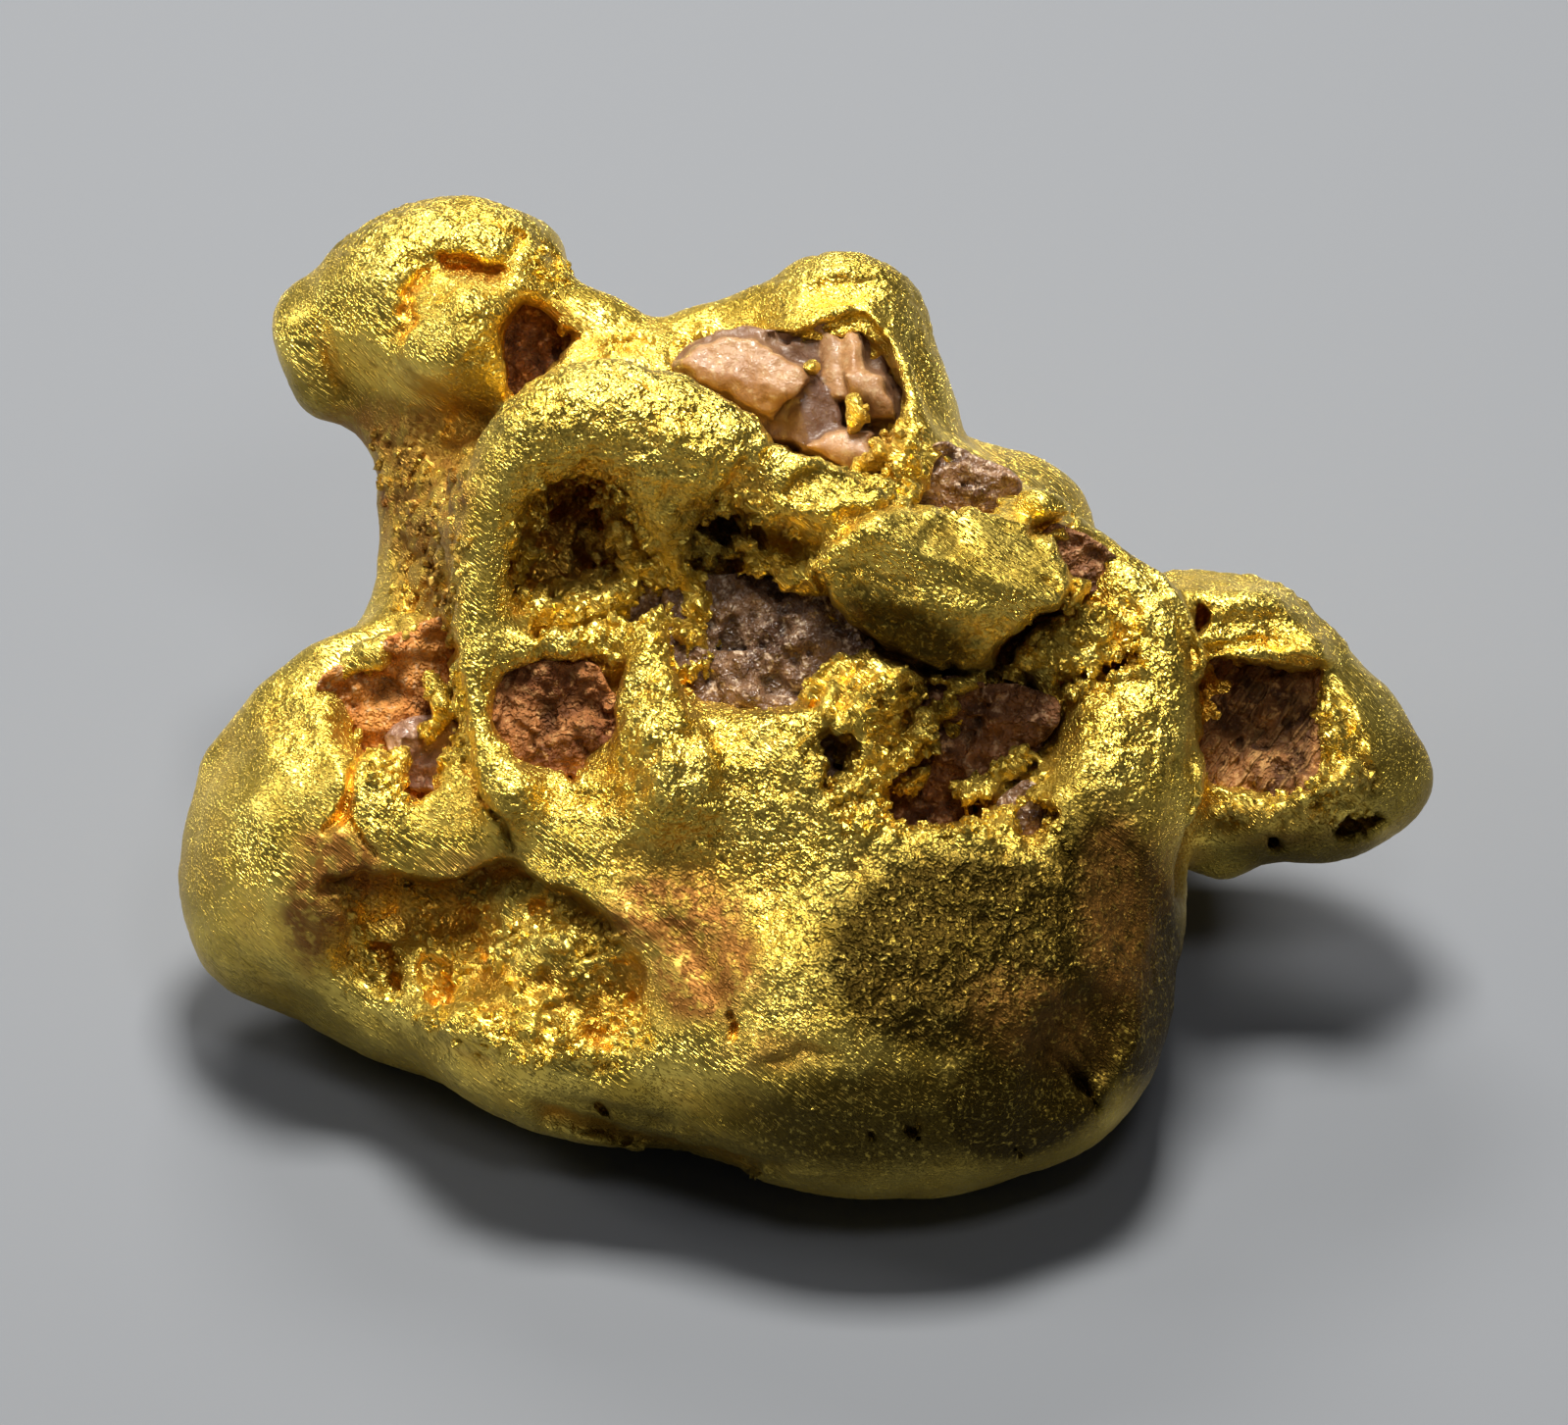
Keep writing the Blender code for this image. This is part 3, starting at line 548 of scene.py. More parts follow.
# Pits of the gold: outline on the chart, level of the floor, how ragged its walls are
PITS = {
    "arch": (
        ((517, 580), (528, 561), (539, 545), (555, 516), (570, 497), (588, 487), (612, 490), (628, 500), (642, 532),
         (656, 560), (668, 582), (660, 597), (640, 608), (612, 626), (590, 634), (560, 634), (533, 622), (518, 606)),
        -3.9, 0.14,
    ),
    "slot": (
        ((613, 636), (624, 620), (643, 607), (664, 596), (682, 598), (686, 610), (668, 625), (645, 640), (625, 656),
         (615, 652)),
        -3.2, 0.1,
    ),
    "bridge": (
        ((692, 552), (702, 537), (718, 524), (738, 517), (754, 524), (763, 540), (782, 552), (787, 569), (781, 590),
         (760, 600), (738, 603), (715, 596), (700, 585), (693, 570)),
        -3.7, 0.14,
    ),
    "middle": (
        ((690, 604), (718, 598), (748, 600), (812, 600), (838, 606), (846, 628), (862, 644), (876, 658), (852, 672),
         (836, 692), (808, 712), (780, 718), (744, 714), (716, 708), (694, 694), (682, 664), (682, 630)),
        -3.4, 0.1,
    ),
    "square": (
        ((515, 687), (540, 682), (572, 690), (598, 689), (608, 708), (624, 729), (627, 745), (611, 761), (595, 775),
         (584, 793), (568, 788), (547, 780), (525, 775), (517, 745), (512, 713)),
        -3.2, 0.06,
    ),
    "dark": (
        ((837, 750), (856, 747), (868, 753), (870, 767), (862, 788), (851, 801), (840, 794), (837, 771)), -2.6, 0.08,
    ),
    "long": (
        ((912, 766), (936, 745), (952, 713), (973, 702), (1005, 712), (1043, 712), (1067, 718), (1064, 734),
         (1048, 756), (1026, 772), (1005, 793), (984, 809), (974, 836), (936, 844), (909, 842), (901, 830),
         (904, 798)),
        -4.2, 0.12,
    ),
    "crevice": (
        ((955, 690), (968, 676), (990, 688), (1012, 680), (1024, 662), (1038, 643), (1058, 626), (1080, 616),
         (1090, 622), (1070, 642), (1050, 664), (1040, 690), (1010, 706), (975, 704)),
        -3.6, 0.08,
    ),
    "right slot": (
        ((1072, 692), (1096, 684), (1128, 678), (1149, 660), (1160, 665), (1163, 681), (1139, 689), (1107, 697),
         (1080, 708)),
        -3.4, 0.08,
    ),
    "right small": (
        ((1032, 820), (1048, 812), (1067, 815), (1077, 831), (1072, 847), (1053, 857), (1040, 853)), -2.4, 0.08,
    ),
    "rim": (((1078, 549), (1101, 553), (1125, 575), (1123, 588), (1107, 593), (1088, 577), (1080, 564)), -3.4, 0.06),
    "left": (
        ((332, 700), (350, 690), (385, 672), (420, 650), (452, 640), (462, 665), (455, 700), (460, 740), (452, 775),
         (440, 805), (425, 820), (408, 800), (395, 782), (378, 785), (362, 770), (350, 735)),
        -5.9, 0.12,
    ),
    "top": (
        ((700, 366), (722, 352), (757, 343), (800, 348), (838, 336), (868, 330), (893, 342), (906, 364), (921, 400),
         (924, 428), (905, 452), (908, 484), (885, 488), (858, 474), (820, 462), (786, 450), (768, 420), (735, 398)),
        -5.5, 0.1,
    ),
    "back": (
        ((930, 512), (946, 494), (952, 474), (961, 463), (979, 470), (1004, 480), (1030, 492), (1020, 510),
         (1010, 524), (980, 520), (952, 518)),
        -4.6, 0.1,
    ),
    "knob recess": (
        ((1237, 669), (1262, 671), (1296, 680), (1323, 685), (1353, 680), (1357, 687), (1348, 701), (1354, 710),
         (1353, 732), (1357, 755), (1355, 775), (1346, 798), (1328, 809), (1305, 812), (1287, 805), (1267, 803),
         (1251, 807), (1238, 800), (1226, 764), (1226, 700)),
        -5.4, 0.08,
    ),
    "knob hole": (((1225, 613), (1236, 617), (1238, 626), (1233, 637), (1228, 646), (1225, 635)), -5.6, 0.04),
    "knob pit": (
        ((1371, 832), (1387, 825), (1409, 828), (1419, 834), (1412, 850), (1398, 857), (1375, 859), (1369, 855)),
        -5.9, 0.08,
    ),
    "knob dot": (((1296, 852), (1310, 852), (1316, 862), (1307, 871), (1296, 864)), -5.6, 0.05),
    "upper": (
        ((514, 356), (516, 328), (532, 302), (544, 308), (560, 324), (584, 336), (580, 352), (560, 364), (536, 388),
         (520, 404), (514, 388)),
        -8.2, 0.06,
    ),
}

# Lumps put back where gold stands in or over the pits: chart right and down, level, radii, turn
LUMPS = (
    ((712, 618, -2.2), (0.38, 0.5, 0.7), 10),
    ((706, 648, -2.1), (0.4, 0.45, 0.7), 0),
    ((714, 676, -2.0), (0.36, 0.4, 0.6), 0),
    ((700, 690, -1.9), (0.3, 0.3, 0.5), 0),
    ((732, 640, -2.4), (0.3, 0.6, 0.5), 0),
    ((886, 788, -0.9), (0.42, 0.6, 0.7), 0),
    ((888, 816, -0.95), (0.34, 0.45, 0.6), 0),
    ((872, 764, -1.0), (0.4, 0.34, 0.5), 0),
    ((1000, 806, -2.0), (0.5, 0.3, 0.6), 20),
    ((1022, 790, -2.0), (0.42, 0.28, 0.5), 30),
    ((1040, 776, -2.0), (0.36, 0.26, 0.5), 30),
    ((958, 722, -2.3), (0.32, 0.24, 0.5), 40),
    ((946, 736, -2.4), (0.3, 0.22, 0.4), 50),
    ((976, 716, -2.5), (0.34, 0.18, 0.4), 20),
    ((1080, 650, -2.2), (0.6, 0.34, 0.5), 20),
    ((1110, 640, -2.2), (0.7, 0.4, 0.5), 10),
    ((1050, 676, -2.3), (0.4, 0.3, 0.4), 30),
    ((384, 792, -3.2), (0.42, 0.5, 0.5), 0),
    ((403, 780, -3.3), (0.26, 0.3, 0.4), 0),
    ((872, 418, -3.85), (0.2, 0.4, 0.4), 0),
    ((826, 371, -4.5), (0.14, 0.12, 0.3), 0),
    ((872, 712, -0.75), (1.05, 0.8, 0.5), -20),
    ((1000, 900, -0.35), (1.5, 0.4, 0.5), 0),
)


# Plates of gold: outline, ridge line, levels of its ends, slopes above and below, thickness
PLATES = {
    "leaf": (
        ((836, 578), (845, 562), (868, 548), (893, 528), (918, 519), (952, 516), (1000, 521), (1038, 533),
         (1068, 552), (1088, 572), (1094, 592), (1080, 616), (1054, 640), (1026, 664), (1000, 682), (972, 684),
         (946, 672), (920, 666), (888, 655), (862, 636), (843, 608)),
        ((905, 545), (1078, 616)), (0.55, 0.1), 0.85, 0.5, 1.6,
    ),
    "bridge lump": (
        ((786, 500), (800, 482), (826, 474), (858, 478), (884, 490), (900, 508), (884, 524), (858, 538), (830, 545),
         (806, 536), (790, 522)),
        ((790, 515), (890, 515)), (-0.1, 0.0), 0.55, 0.9, 1.6,
    ),
    "knob brow": (
        ((1205, 600), (1240, 602), (1285, 606), (1315, 618), (1345, 650), (1362, 676), (1350, 684), (1320, 688),
         (1290, 682), (1262, 672), (1238, 668), (1226, 640)),
        ((1220, 650), (1345, 668)), (-3.7, -3.7), 0.35, 2.0, 1.6,
    ),
}

# Rolls and curls of gold: chart right and down, level out, radius
ROLLS = (
    ((692, 790, -0.3, 0.95), (676, 735, -0.5, 0.72), (663, 680, -0.8, 0.5), (668, 640, -1.05, 0.34)),  # spur
    ((655, 645, -1.25, 0.2), (640, 655, -1.3, 0.24), (622, 672, -1.4, 0.3)),
    ((760, 556, -1.6, 0.22), (776, 572, -1.5, 0.26), (800, 584, -1.4, 0.3), (830, 592, -1.4, 0.3)),  # in the bridge
    ((752, 530, -2.0, 0.16), (758, 548, -1.9, 0.18), (750, 566, -2.0, 0.16)),
    ((706, 560, -2.2, 0.14), (716, 548, -2.0, 0.14), (728, 556, -2.0, 0.12), (722, 572, -2.2, 0.14)),
    ((606, 498, -2.1, 0.16), (622, 516, -2.3, 0.3), (634, 548, -2.2, 0.34), (650, 578, -2.0, 0.3)),  # in the arch
    ((536, 612, -2.2, 0.26), (564, 626, -2.1, 0.3), (596, 626, -2.0, 0.34), (632, 604, -2.1, 0.32)),
    ((562, 598, -2.9, 0.2), (588, 606, -3.0, 0.3), (616, 584, -3.0, 0.26)),
    ((596, 540, -3.2, 0.14), (610, 560, -3.0, 0.16), (622, 560, -2.8, 0.16)),
    ((524, 586, -2.4, 0.2), (534, 566, -2.6, 0.2)),
    ((556, 655, -1.3, 0.26), (580, 658, -1.15, 0.33), (606, 655, -1.25, 0.28), (628, 646, -1.4, 0.2)),  # foot of the arch
    ((914, 776, -1.3, 0.18), (926, 758, -1.4, 0.22), (946, 742, -1.5, 0.2), (966, 722, -1.6, 0.22)),  # in the long pit
    ((930, 800, -2.2, 0.16), (942, 784, -2.1, 0.16), (938, 766, -2.0, 0.14), (950, 752, -2.0, 0.14)),
    ((980, 716, -2.0, 0.12), (968, 734, -2.1, 0.12), (976, 750, -2.3, 0.12)),
    ((958, 694, -1.5, 0.16), (980, 700, -1.6, 0.14), (1000, 690, -1.8, 0.12)),
    ((1246, 826, -4.1, 0.2), (1262, 826, -4.1, 0.22), (1276, 822, -4.2, 0.18)),  # under the knob's rock
    ((1340, 806, -3.6, 0.2), (1360, 796, -3.5, 0.26), (1386, 786, -3.6, 0.22)),
    ((348, 676, -4.0, 0.22), (378, 664, -3.9, 0.26), (408, 648, -4.0, 0.24), (428, 634, -4.2, 0.2)),  # left pocket's lip
    ((444, 700, -3.6, 0.2), (452, 720, -3.4, 0.22), (440, 742, -3.5, 0.18)),
    ((878, 470, -3.0, 0.2), (900, 458, -2.9, 0.26), (922, 446, -3.0, 0.26), (930, 428, -3.3, 0.2)),  # by the top quartz
    ((902, 500, -2.6, 0.16), (916, 484, -2.6, 0.18), (928, 466, -2.7, 0.18)),
)

# Flats worn or broken on the gold: outline, ridge line, levels of its ends, slopes above and below
FLATS = {
    "leaf flat": (
        ((905, 541), (920, 524), (952, 519), (995, 523), (1035, 536), (1066, 554), (1090, 575), (1094, 592),
         (1080, 616), (1054, 618), (1026, 610), (995, 602), (960, 580), (930, 562)),
        ((905, 545), (1078, 616)), (0.45, 0.02), 0.8, 0.0,
    ),
    "bridge flat": (
        ((800, 505), (812, 486), (840, 480), (866, 488), (876, 502), (850, 512), (820, 516)),
        ((800, 512), (876, 505)), (-0.2, -0.15), 0.45, 0.0,
    ),
}

# Ledges, left to right, with the drop in mm just below each point; then the fade below it
LEDGES = (
    (((318, 915, 0.0), (332, 897, 0.5), (368, 889, 0.8), (400, 891, 0.9), (428, 900, 0.9), (462, 900, 0.9),
      (486, 885, 0.9), (508, 876, 0.9), (526, 877, 0.85), (542, 892, 0.75), (574, 905, 0.55), (602, 921, 0.4),
      (632, 940, 0.2), (650, 956, 0.0)), 1.7),
    (((540, 1122, 0.0), (560, 1131, 0.3), (610, 1142, 0.35), (660, 1152, 0.3), (700, 1166, 0.3), (760, 1178, 0.2),
      (820, 1186, 0.0)), 0.6),
    (((755, 340, 0.0), (780, 336, 0.2), (812, 334, 0.3), (845, 322, 0.3), (872, 314, 0.3), (888, 318, 0.25),
      (902, 334, 0.2), (915, 362, 0.0)), 0.5),
    (((435, 262, 0.0), (442, 253, 0.3), (460, 254, 0.35), (478, 258, 0.35), (500, 265, 0.3), (520, 272, 0.0)), 0.6),
    (((1064, 752, 0.0), (1072, 730, 0.2), (1090, 712, 0.25), (1120, 696, 0.25), (1160, 688, 0.0)), 0.5),
    (((760, 1082, 0.0), (790, 1076, 0.12), (820, 1062, 0.15), (850, 1066, 0.1), (880, 1076, 0.0)), 0.6),
)

# Grooves and creases: chart right and down, half width, depth (below zero for a raised line)
GROOVES = (
    ((436, 262, 0.14, 0.1), (424, 278, 0.18, 0.24), (410, 292, 0.2, 0.28), (414, 304, 0.14, 0.22),
     (406, 312, 0.2, 0.26), (416, 322, 0.16, 0.2), (404, 334, 0.12, 0.1)),
    ((440, 252, 0.1, 0.12), (452, 262, 0.16, 0.3), (474, 258, 0.2, 0.34), (490, 268, 0.14, 0.28),
     (512, 268, 0.1, 0.2)),
    ((420, 236, 0.08, 0.04), (436, 232, 0.1, 0.1), (448, 226, 0.08, 0.04)),
    ((406, 250, 0.06, 0.04), (424, 244, 0.08, 0.08), (444, 240, 0.08, 0.08), (462, 244, 0.06, 0.04)),
    ((396, 262, 0.06, 0.04), (410, 256, 0.08, 0.08), (428, 254, 0.06, 0.04)),
    ((408, 214, 0.05, 0.03), (430, 212, 0.07, 0.06), (448, 224, 0.05, 0.04)),
    ((470, 210, 0.06, 0.03), (492, 214, 0.08, 0.08), (512, 222, 0.1, 0.12), (528, 234, 0.14, 0.2),
     (520, 252, 0.14, 0.22), (506, 264, 0.12, 0.2)),
    ((548, 236, 0.12, 0.06), (560, 256, 0.16, 0.12), (566, 280, 0.14, 0.08)),
    ((306, 300, 0.15, 0.0), (320, 330, 0.22, 0.12), (330, 360, 0.24, 0.14), (345, 392, 0.2, 0.08)),
    ((480, 344, 0.06, 0.06), (492, 352, 0.1, 0.12), (502, 356, 0.05, 0.05)),
    ((364, 770, 0.1, 0.2), (357, 790, 0.14, 0.35), (353, 812, 0.16, 0.35), (343, 836, 0.2, 0.35),
     (332, 846, 0.15, 0.2)),
    ((350, 830, 0.1, 0.2), (362, 848, 0.1, 0.25), (376, 868, 0.1, 0.2), (379, 878, 0.06, 0.1)),
    ((468, 690, 0.15, 0.2), (472, 730, 0.15, 0.2), (476, 776, 0.2, 0.3), (482, 800, 0.1, 0.2), (500, 830, 0.1, 0.25),
     (516, 848, 0.12, 0.25), (524, 868, 0.08, 0.15)),
    ((555, 678, 0.1, 0.2), (553, 662, 0.15, 0.45), (550, 650, 0.15, 0.4), (560, 640, 0.12, 0.3)),
    ((786, 452, 0.12, 0.16), (780, 466, 0.14, 0.16), (766, 480, 0.1, 0.1), (758, 496, 0.08, 0.05)),
    ((626, 372, 0.06, 0.03), (640, 384, 0.1, 0.1), (652, 380, 0.08, 0.08), (664, 396, 0.1, 0.1),
     (650, 408, 0.06, 0.04)),
    ((646, 398, 0.06, 0.03), (644, 420, 0.08, 0.07), (650, 446, 0.08, 0.08), (644, 470, 0.06, 0.04)),
    ((690, 395, 0.06, 0.02), (672, 420, 0.08, 0.06), (664, 450, 0.08, 0.06), (672, 476, 0.06, 0.02)),
    ((724, 404, 0.06, 0.02), (702, 432, 0.08, 0.06), (694, 462, 0.08, 0.06), (700, 486, 0.06, 0.02)),
    ((760, 470, 0.1, 0.05), (748, 492, 0.16, 0.14), (734, 508, 0.2, 0.2), (716, 520, 0.2, 0.2)),
    ((800, 560, 0.08, 0.1), (824, 566, 0.08, 0.12), (846, 572, 0.06, 0.08)),
    ((790, 574, 0.06, 0.08), (816, 580, 0.07, 0.1), (838, 588, 0.06, 0.06)),
    ((835, 585, 0.12, 0.4), (844, 612, 0.16, 0.6), (868, 642, 0.16, 0.6), (900, 664, 0.16, 0.6),
     (940, 680, 0.16, 0.6),
     (966, 692, 0.2, 0.6)),
    ((1020, 668, 0.2, 0.6), (1050, 642, 0.2, 0.6), (1078, 622, 0.16, 0.5), (1096, 596, 0.14, 0.4),
     (1094, 572, 0.1, 0.3)),
    ((1054, 586, 0.05, 0.1), (1064, 592, 0.08, 0.15), (1078, 597, 0.08, 0.15), (1082, 606, 0.05, 0.1)),
    ((1050, 545, 0.15, 0.3), (1068, 536, 0.25, 0.5), (1090, 530, 0.2, 0.4), (1100, 520, 0.1, 0.2)),
    ((926, 520, 0.08, -0.05), (960, 517, 0.1, -0.08), (1000, 520, 0.1, -0.08), (1040, 532, 0.1, -0.08),
     (1072, 552, 0.1, -0.08), (1092, 575, 0.08, -0.05)),
    ((1178, 580, 0.12, -0.1), (1200, 604, 0.16, -0.15), (1222, 638, 0.16, -0.18), (1232, 680, 0.16, -0.2),
     (1235, 730, 0.16, -0.2), (1230, 790, 0.16, -0.18), (1217, 840, 0.12, -0.1)),
    ((1206, 640, 0.15, 0.1), (1218, 680, 0.2, 0.2), (1220, 740, 0.2, 0.2), (1214, 790, 0.15, 0.1)),
    ((1090, 1090, 0.12, 0.1), (1100, 1102, 0.2, 0.35), (1112, 1118, 0.2, 0.4), (1118, 1128, 0.12, 0.2)),
    ((1052, 1050, 0.06, 0.05), (1080, 1076, 0.1, 0.15), (1100, 1100, 0.12, 0.2)),
    ((1040, 1060, 0.05, 0.03), (1064, 1084, 0.08, 0.1), (1084, 1106, 0.06, 0.06)),
    ((1066, 1030, 0.05, 0.03), (1092, 1056, 0.08, 0.12), (1112, 1084, 0.08, 0.12)),
    ((746, 1034, 0.08, 0.2), (749, 1046, 0.12, 0.4), (745, 1062, 0.08, 0.2)),
    ((918, 1144, 0.06, 0.1), (930, 1152, 0.12, 0.3), (938, 1160, 0.08, 0.2)),
    ((936, 1134, 0.05, 0.08), (938, 1146, 0.1, 0.2), (932, 1154, 0.06, 0.1)),
    ((888, 1152, 0.05, 0.15), (892, 1160, 0.07, 0.2)),
    ((1038, 1172, 0.06, 0.2), (1042, 1180, 0.06, 0.2)),
    ((612, 1128, 0.1, 0.3), (618, 1136, 0.1, 0.3)),
    ((640, 905, 0.3, 0.1), (700, 960, 0.5, 0.18), (730, 1010, 0.4, 0.15)),
    ((560, 780, 0.2, -0.1), (600, 800, 0.3, -0.12), (640, 800, 0.2, -0.08)),
    ((1240, 660, 0.1, 0.1), (1290, 650, 0.12, 0.12), (1330, 662, 0.1, 0.06)),
    ((1362, 690, 0.2, 0.1), (1378, 730, 0.25, 0.15), (1392, 770, 0.2, 0.2), (1410, 790, 0.15, 0.1)),
)

# Broad dents and swellings: chart right and down of the middle, half sizes in mm, turn, depth
DENTS = (
    (1098, 1066, 0.9, 1.4, -30, 0.45),
    (440, 968, 2.3, 1.25, -12, 0.35),
    (380, 968, 0.9, 1.0, 0, 0.35),
    (572, 1006, 1.5, 1.3, -20, -0.55),
    (640, 1020, 1.0, 1.6, -30, 0.3),
    (500, 1030, 1.2, 0.8, 0, -0.12),
    (500, 1056, 1.4, 0.5, -14, -0.15),
    (990, 752, 2.6, 1.5, 28, 0.45),
    (742, 660, 1.6, 1.3, 0, 0.2),
    (1110, 640, 1.2, 0.7, 20, 0.15),
    (1140, 900, 0.5, 1.6, 10, 0.12),
    (720, 1120, 1.6, 0.5, -14, 0.12),
    (950, 1080, 2.6, 0.8, 8, 0.1),
    (800, 1040, 0.8, 0.9, 10, 0.12),
    (610, 840, 1.6, 0.7, 10, -0.12),
    (1010, 900, 1.6, 0.7, 0, -0.1),
    (250, 860, 0.9, 1.4, 20, -0.08),
    (300, 760, 0.5, 0.9, 30, 0.12),
    (1000, 560, 1.2, 0.4, -20, 0.05),
    (440, 320, 0.5, 0.7, 0, 0.12),
    (505, 350, 0.35, 0.7, 10, 0.12),
    (470, 300, 0.6, 0.4, 0, -0.1),
    (860, 290, 0.8, 0.3, 10, 0.2),
    (1290, 640, 1.1, 0.4, 0, 0.12),
)

# Deeper holes in the floor of the left hollow
LEFT_HOLES = (
    ((372, 956), (384, 958), (396, 962), (404, 985), (412, 1010), (410, 1024), (398, 1020), (384, 996), (374, 975)),
    ((430, 962), (440, 984), (458, 990), (462, 1008), (456, 1028), (438, 1030), (430, 1010), (424, 988)),
)


# Crumbly crystalline gold: outline, size of the crumbs, how far they stand
CRUMBLY = (
    (((505, 560), (545, 490), (590, 470), (650, 500), (690, 600), (680, 650), (600, 650), (530, 640)), 0.42, 0.2),
    (((680, 520), (750, 490), (810, 530), (850, 590), (760, 620), (690, 600)), 0.36, 0.2),
    (((676, 590), (740, 590), (745, 700), (700, 715), (672, 660)), 0.32, 0.2),
    (((812, 690), (870, 640), (960, 690), (1020, 680), (1100, 600), (1180, 620), (1180, 690), (1080, 730),
      (1070, 800), (1100, 870), (1000, 860), (860, 860), (820, 810)), 0.4, 0.2),
    (((850, 560), (990, 620), (1060, 630), (1000, 700), (900, 680), (845, 630)), 0.34, 0.1),
    (((330, 900), (480, 890), (560, 890), (640, 950), (640, 1010), (610, 1100), (520, 1090), (400, 1040),
      (340, 970)), 0.5, 0.15),
    (((600, 990), (660, 1010), (670, 1060), (620, 1100), (570, 1080)), 0.4, 0.14),
    (((340, 690), (460, 630), (470, 760), (430, 830), (360, 800)), 0.4, 0.16),
    (((1330, 690), (1400, 740), (1420, 790), (1400, 850), (1280, 850), (1230, 830), (1340, 790)), 0.4, 0.2),
    (((530, 240), (580, 260), (570, 300), (540, 290)), 0.35, 0.14),
    (((870, 410), (930, 400), (960, 460), (930, 520), (880, 500)), 0.34, 0.17),
    (((560, 330), (660, 320), (760, 330), (740, 360), (660, 370), (590, 350)), 0.4, 0.12),
    (((370, 430), (480, 420), (470, 640), (400, 640)), 0.55, 0.2),
    (((600, 1120), (720, 1150), (860, 1200), (760, 1215), (620, 1170)), 0.4, 0.1),
    (((560, 480), (720, 400), (800, 440), (800, 520), (700, 540), (650, 500)), 0.5, 0.06),
    (((500, 330), (560, 400), (700, 380), (780, 430), (700, 500), (560, 470), (480, 520), (470, 420)), 0.6, 0.06),
    (((640, 640), (700, 700), (820, 740), (860, 860), (700, 860), (620, 780)), 0.55, 0.06),
    (((860, 850), (1100, 860), (1110, 1040), (900, 1060), (840, 960)), 0.6, 0.06),
    (((1060, 740), (1180, 690), (1220, 760), (1160, 860), (1080, 860)), 0.5, 0.08),
)


def shape_gold():
    """The gold's solid, with all its features worked into it."""
    gold = solid_of(*rounded(*own_mesh("gold"), 2))
    gold.soften(GOLD_SOFTNESS)
    for plate in PLATES.values():
        add_roof(gold, *plate)
    for flat in FLATS.values():
        shave(gold, *flat)
    wide = gold.wide()
    field = np.zeros(wide.shape[:2])
    for *spot, deep in DENTS:
        field += patches(((*spot, 1.0),), wide[..., 0], wide[..., 1]) * deep
    press(gold, field)
    for run, fade in LEDGES:
        press(gold, step_down(run, wide, fade=fade))
    for run in GROOVES:
        press(gold, mark_depth(run, wide))
    for number, (outline, floor, ragged) in enumerate(PITS.values()):
        cut_pit(gold, outline, floor, ragged, PIT_SEED + number)
    for number, (middle, radii, turn) in enumerate(LUMPS):
        add_lump(gold, middle, radii, turn, LUMP_SEED + number)
    for number, run in enumerate(ROLLS):
        add_roll(gold, run, ROLL_SEED + number)
    for number, (outline, size, stand) in enumerate(CRUMBLY):
        roughen(gold, outline, size, stand, CRUMBLY_SEED + number)
    for number, outline in enumerate(LEFT_HOLES):
        cut_pit(gold, outline, gold.sample_front(outline) - HOLE_DEPTH, 0.08, HOLE_SEED + number)
    return gold


# ---------------------------------------------------------------- finished pieces


def finished(name, solid, triangles, material, move=None):
    """A piece in metres from a solid, with its triangles thinned to a number, most of them behind and below."""
    corners, faces = surface_of(solid)
    if move is not None:
        corners = move(corners, faces)
    stood = from_face(corners)
    stood[:, 2] = np.maximum(stood[:, 2], 0)
    mesh = bpy.data.meshes.new(name)
    mesh.from_pydata(stood.tolist(), [], faces.tolist())
    mesh.update()
    piece = put_in_scene(name, mesh)
    whole = len(faces) * 2
    if whole > triangles:
        hidden = hidden_share(solid, corners)
        spare = piece.vertex_groups.new(name="thin here")
        for step in range(4):
            chosen = np.nonzero(np.round(hidden * 3) == step)[0]
            spare.add(chosen.tolist(), max(step / 3, LEAST_SHARE), "REPLACE")
        thin = piece.modifiers.new("thin", "DECIMATE")
        thin.ratio = triangles / whole
        thin.vertex_group = spare.name
        thin.vertex_group_factor = THIN_BALANCE
        thinned = made_plain(piece)
        piece.modifiers.clear()
        piece.vertex_groups.clear()
        piece.data = thinned
        bpy.data.meshes.remove(mesh)
    piece.data.transform(Matrix.Scale(MM, 4))
    facing = bmesh.new()
    facing.from_mesh(piece.data)
    bmesh.ops.recalc_face_normals(facing, faces=facing.faces)
    if facing.calc_volume(signed=True) < 0:
        bmesh.ops.reverse_faces(facing, faces=facing.faces)
    facing.to_mesh(piece.data)
    facing.free()
    piece.data.name = name
    piece.data.polygons.foreach_set("use_smooth", np.ones(len(piece.data.polygons), bool))
    piece.data.materials.append(material)
    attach(piece, "root")
    return piece


def hidden_share(solid, corners):
    """How far each corner lies from the front surface: 0 on the front, 1 behind."""
    front = solid.front()
    spot = np.clip(np.round(corners[:, :2] / GRID).astype(int) - solid.low[:2], 0, np.array(front.shape) - 1)
    behind = front[spot[:, 0], spot[:, 1]] - corners[:, 2]
    return ease(behind, 0.3, 1.6)


# ---------------------------------------------------------------- finishes


def new_group(name, inputs, outputs, kind_of_tree="ShaderNodeTree"):
    """A node group with named inputs (name, kind, value) and outputs (name, kind)."""
    tree = bpy.data.node_groups.new(name, kind_of_tree)
    for label, kind, value in inputs:
        socket = tree.interface.new_socket(name=label, in_out="INPUT", socket_type=kind)
        if value is not None:
            socket.default_value = value
    for label, kind in outputs:
        tree.interface.new_socket(name=label, in_out="OUTPUT", socket_type=kind)
    return tree, tree.nodes.new("NodeGroupInput"), tree.nodes.new("NodeGroupOutput")


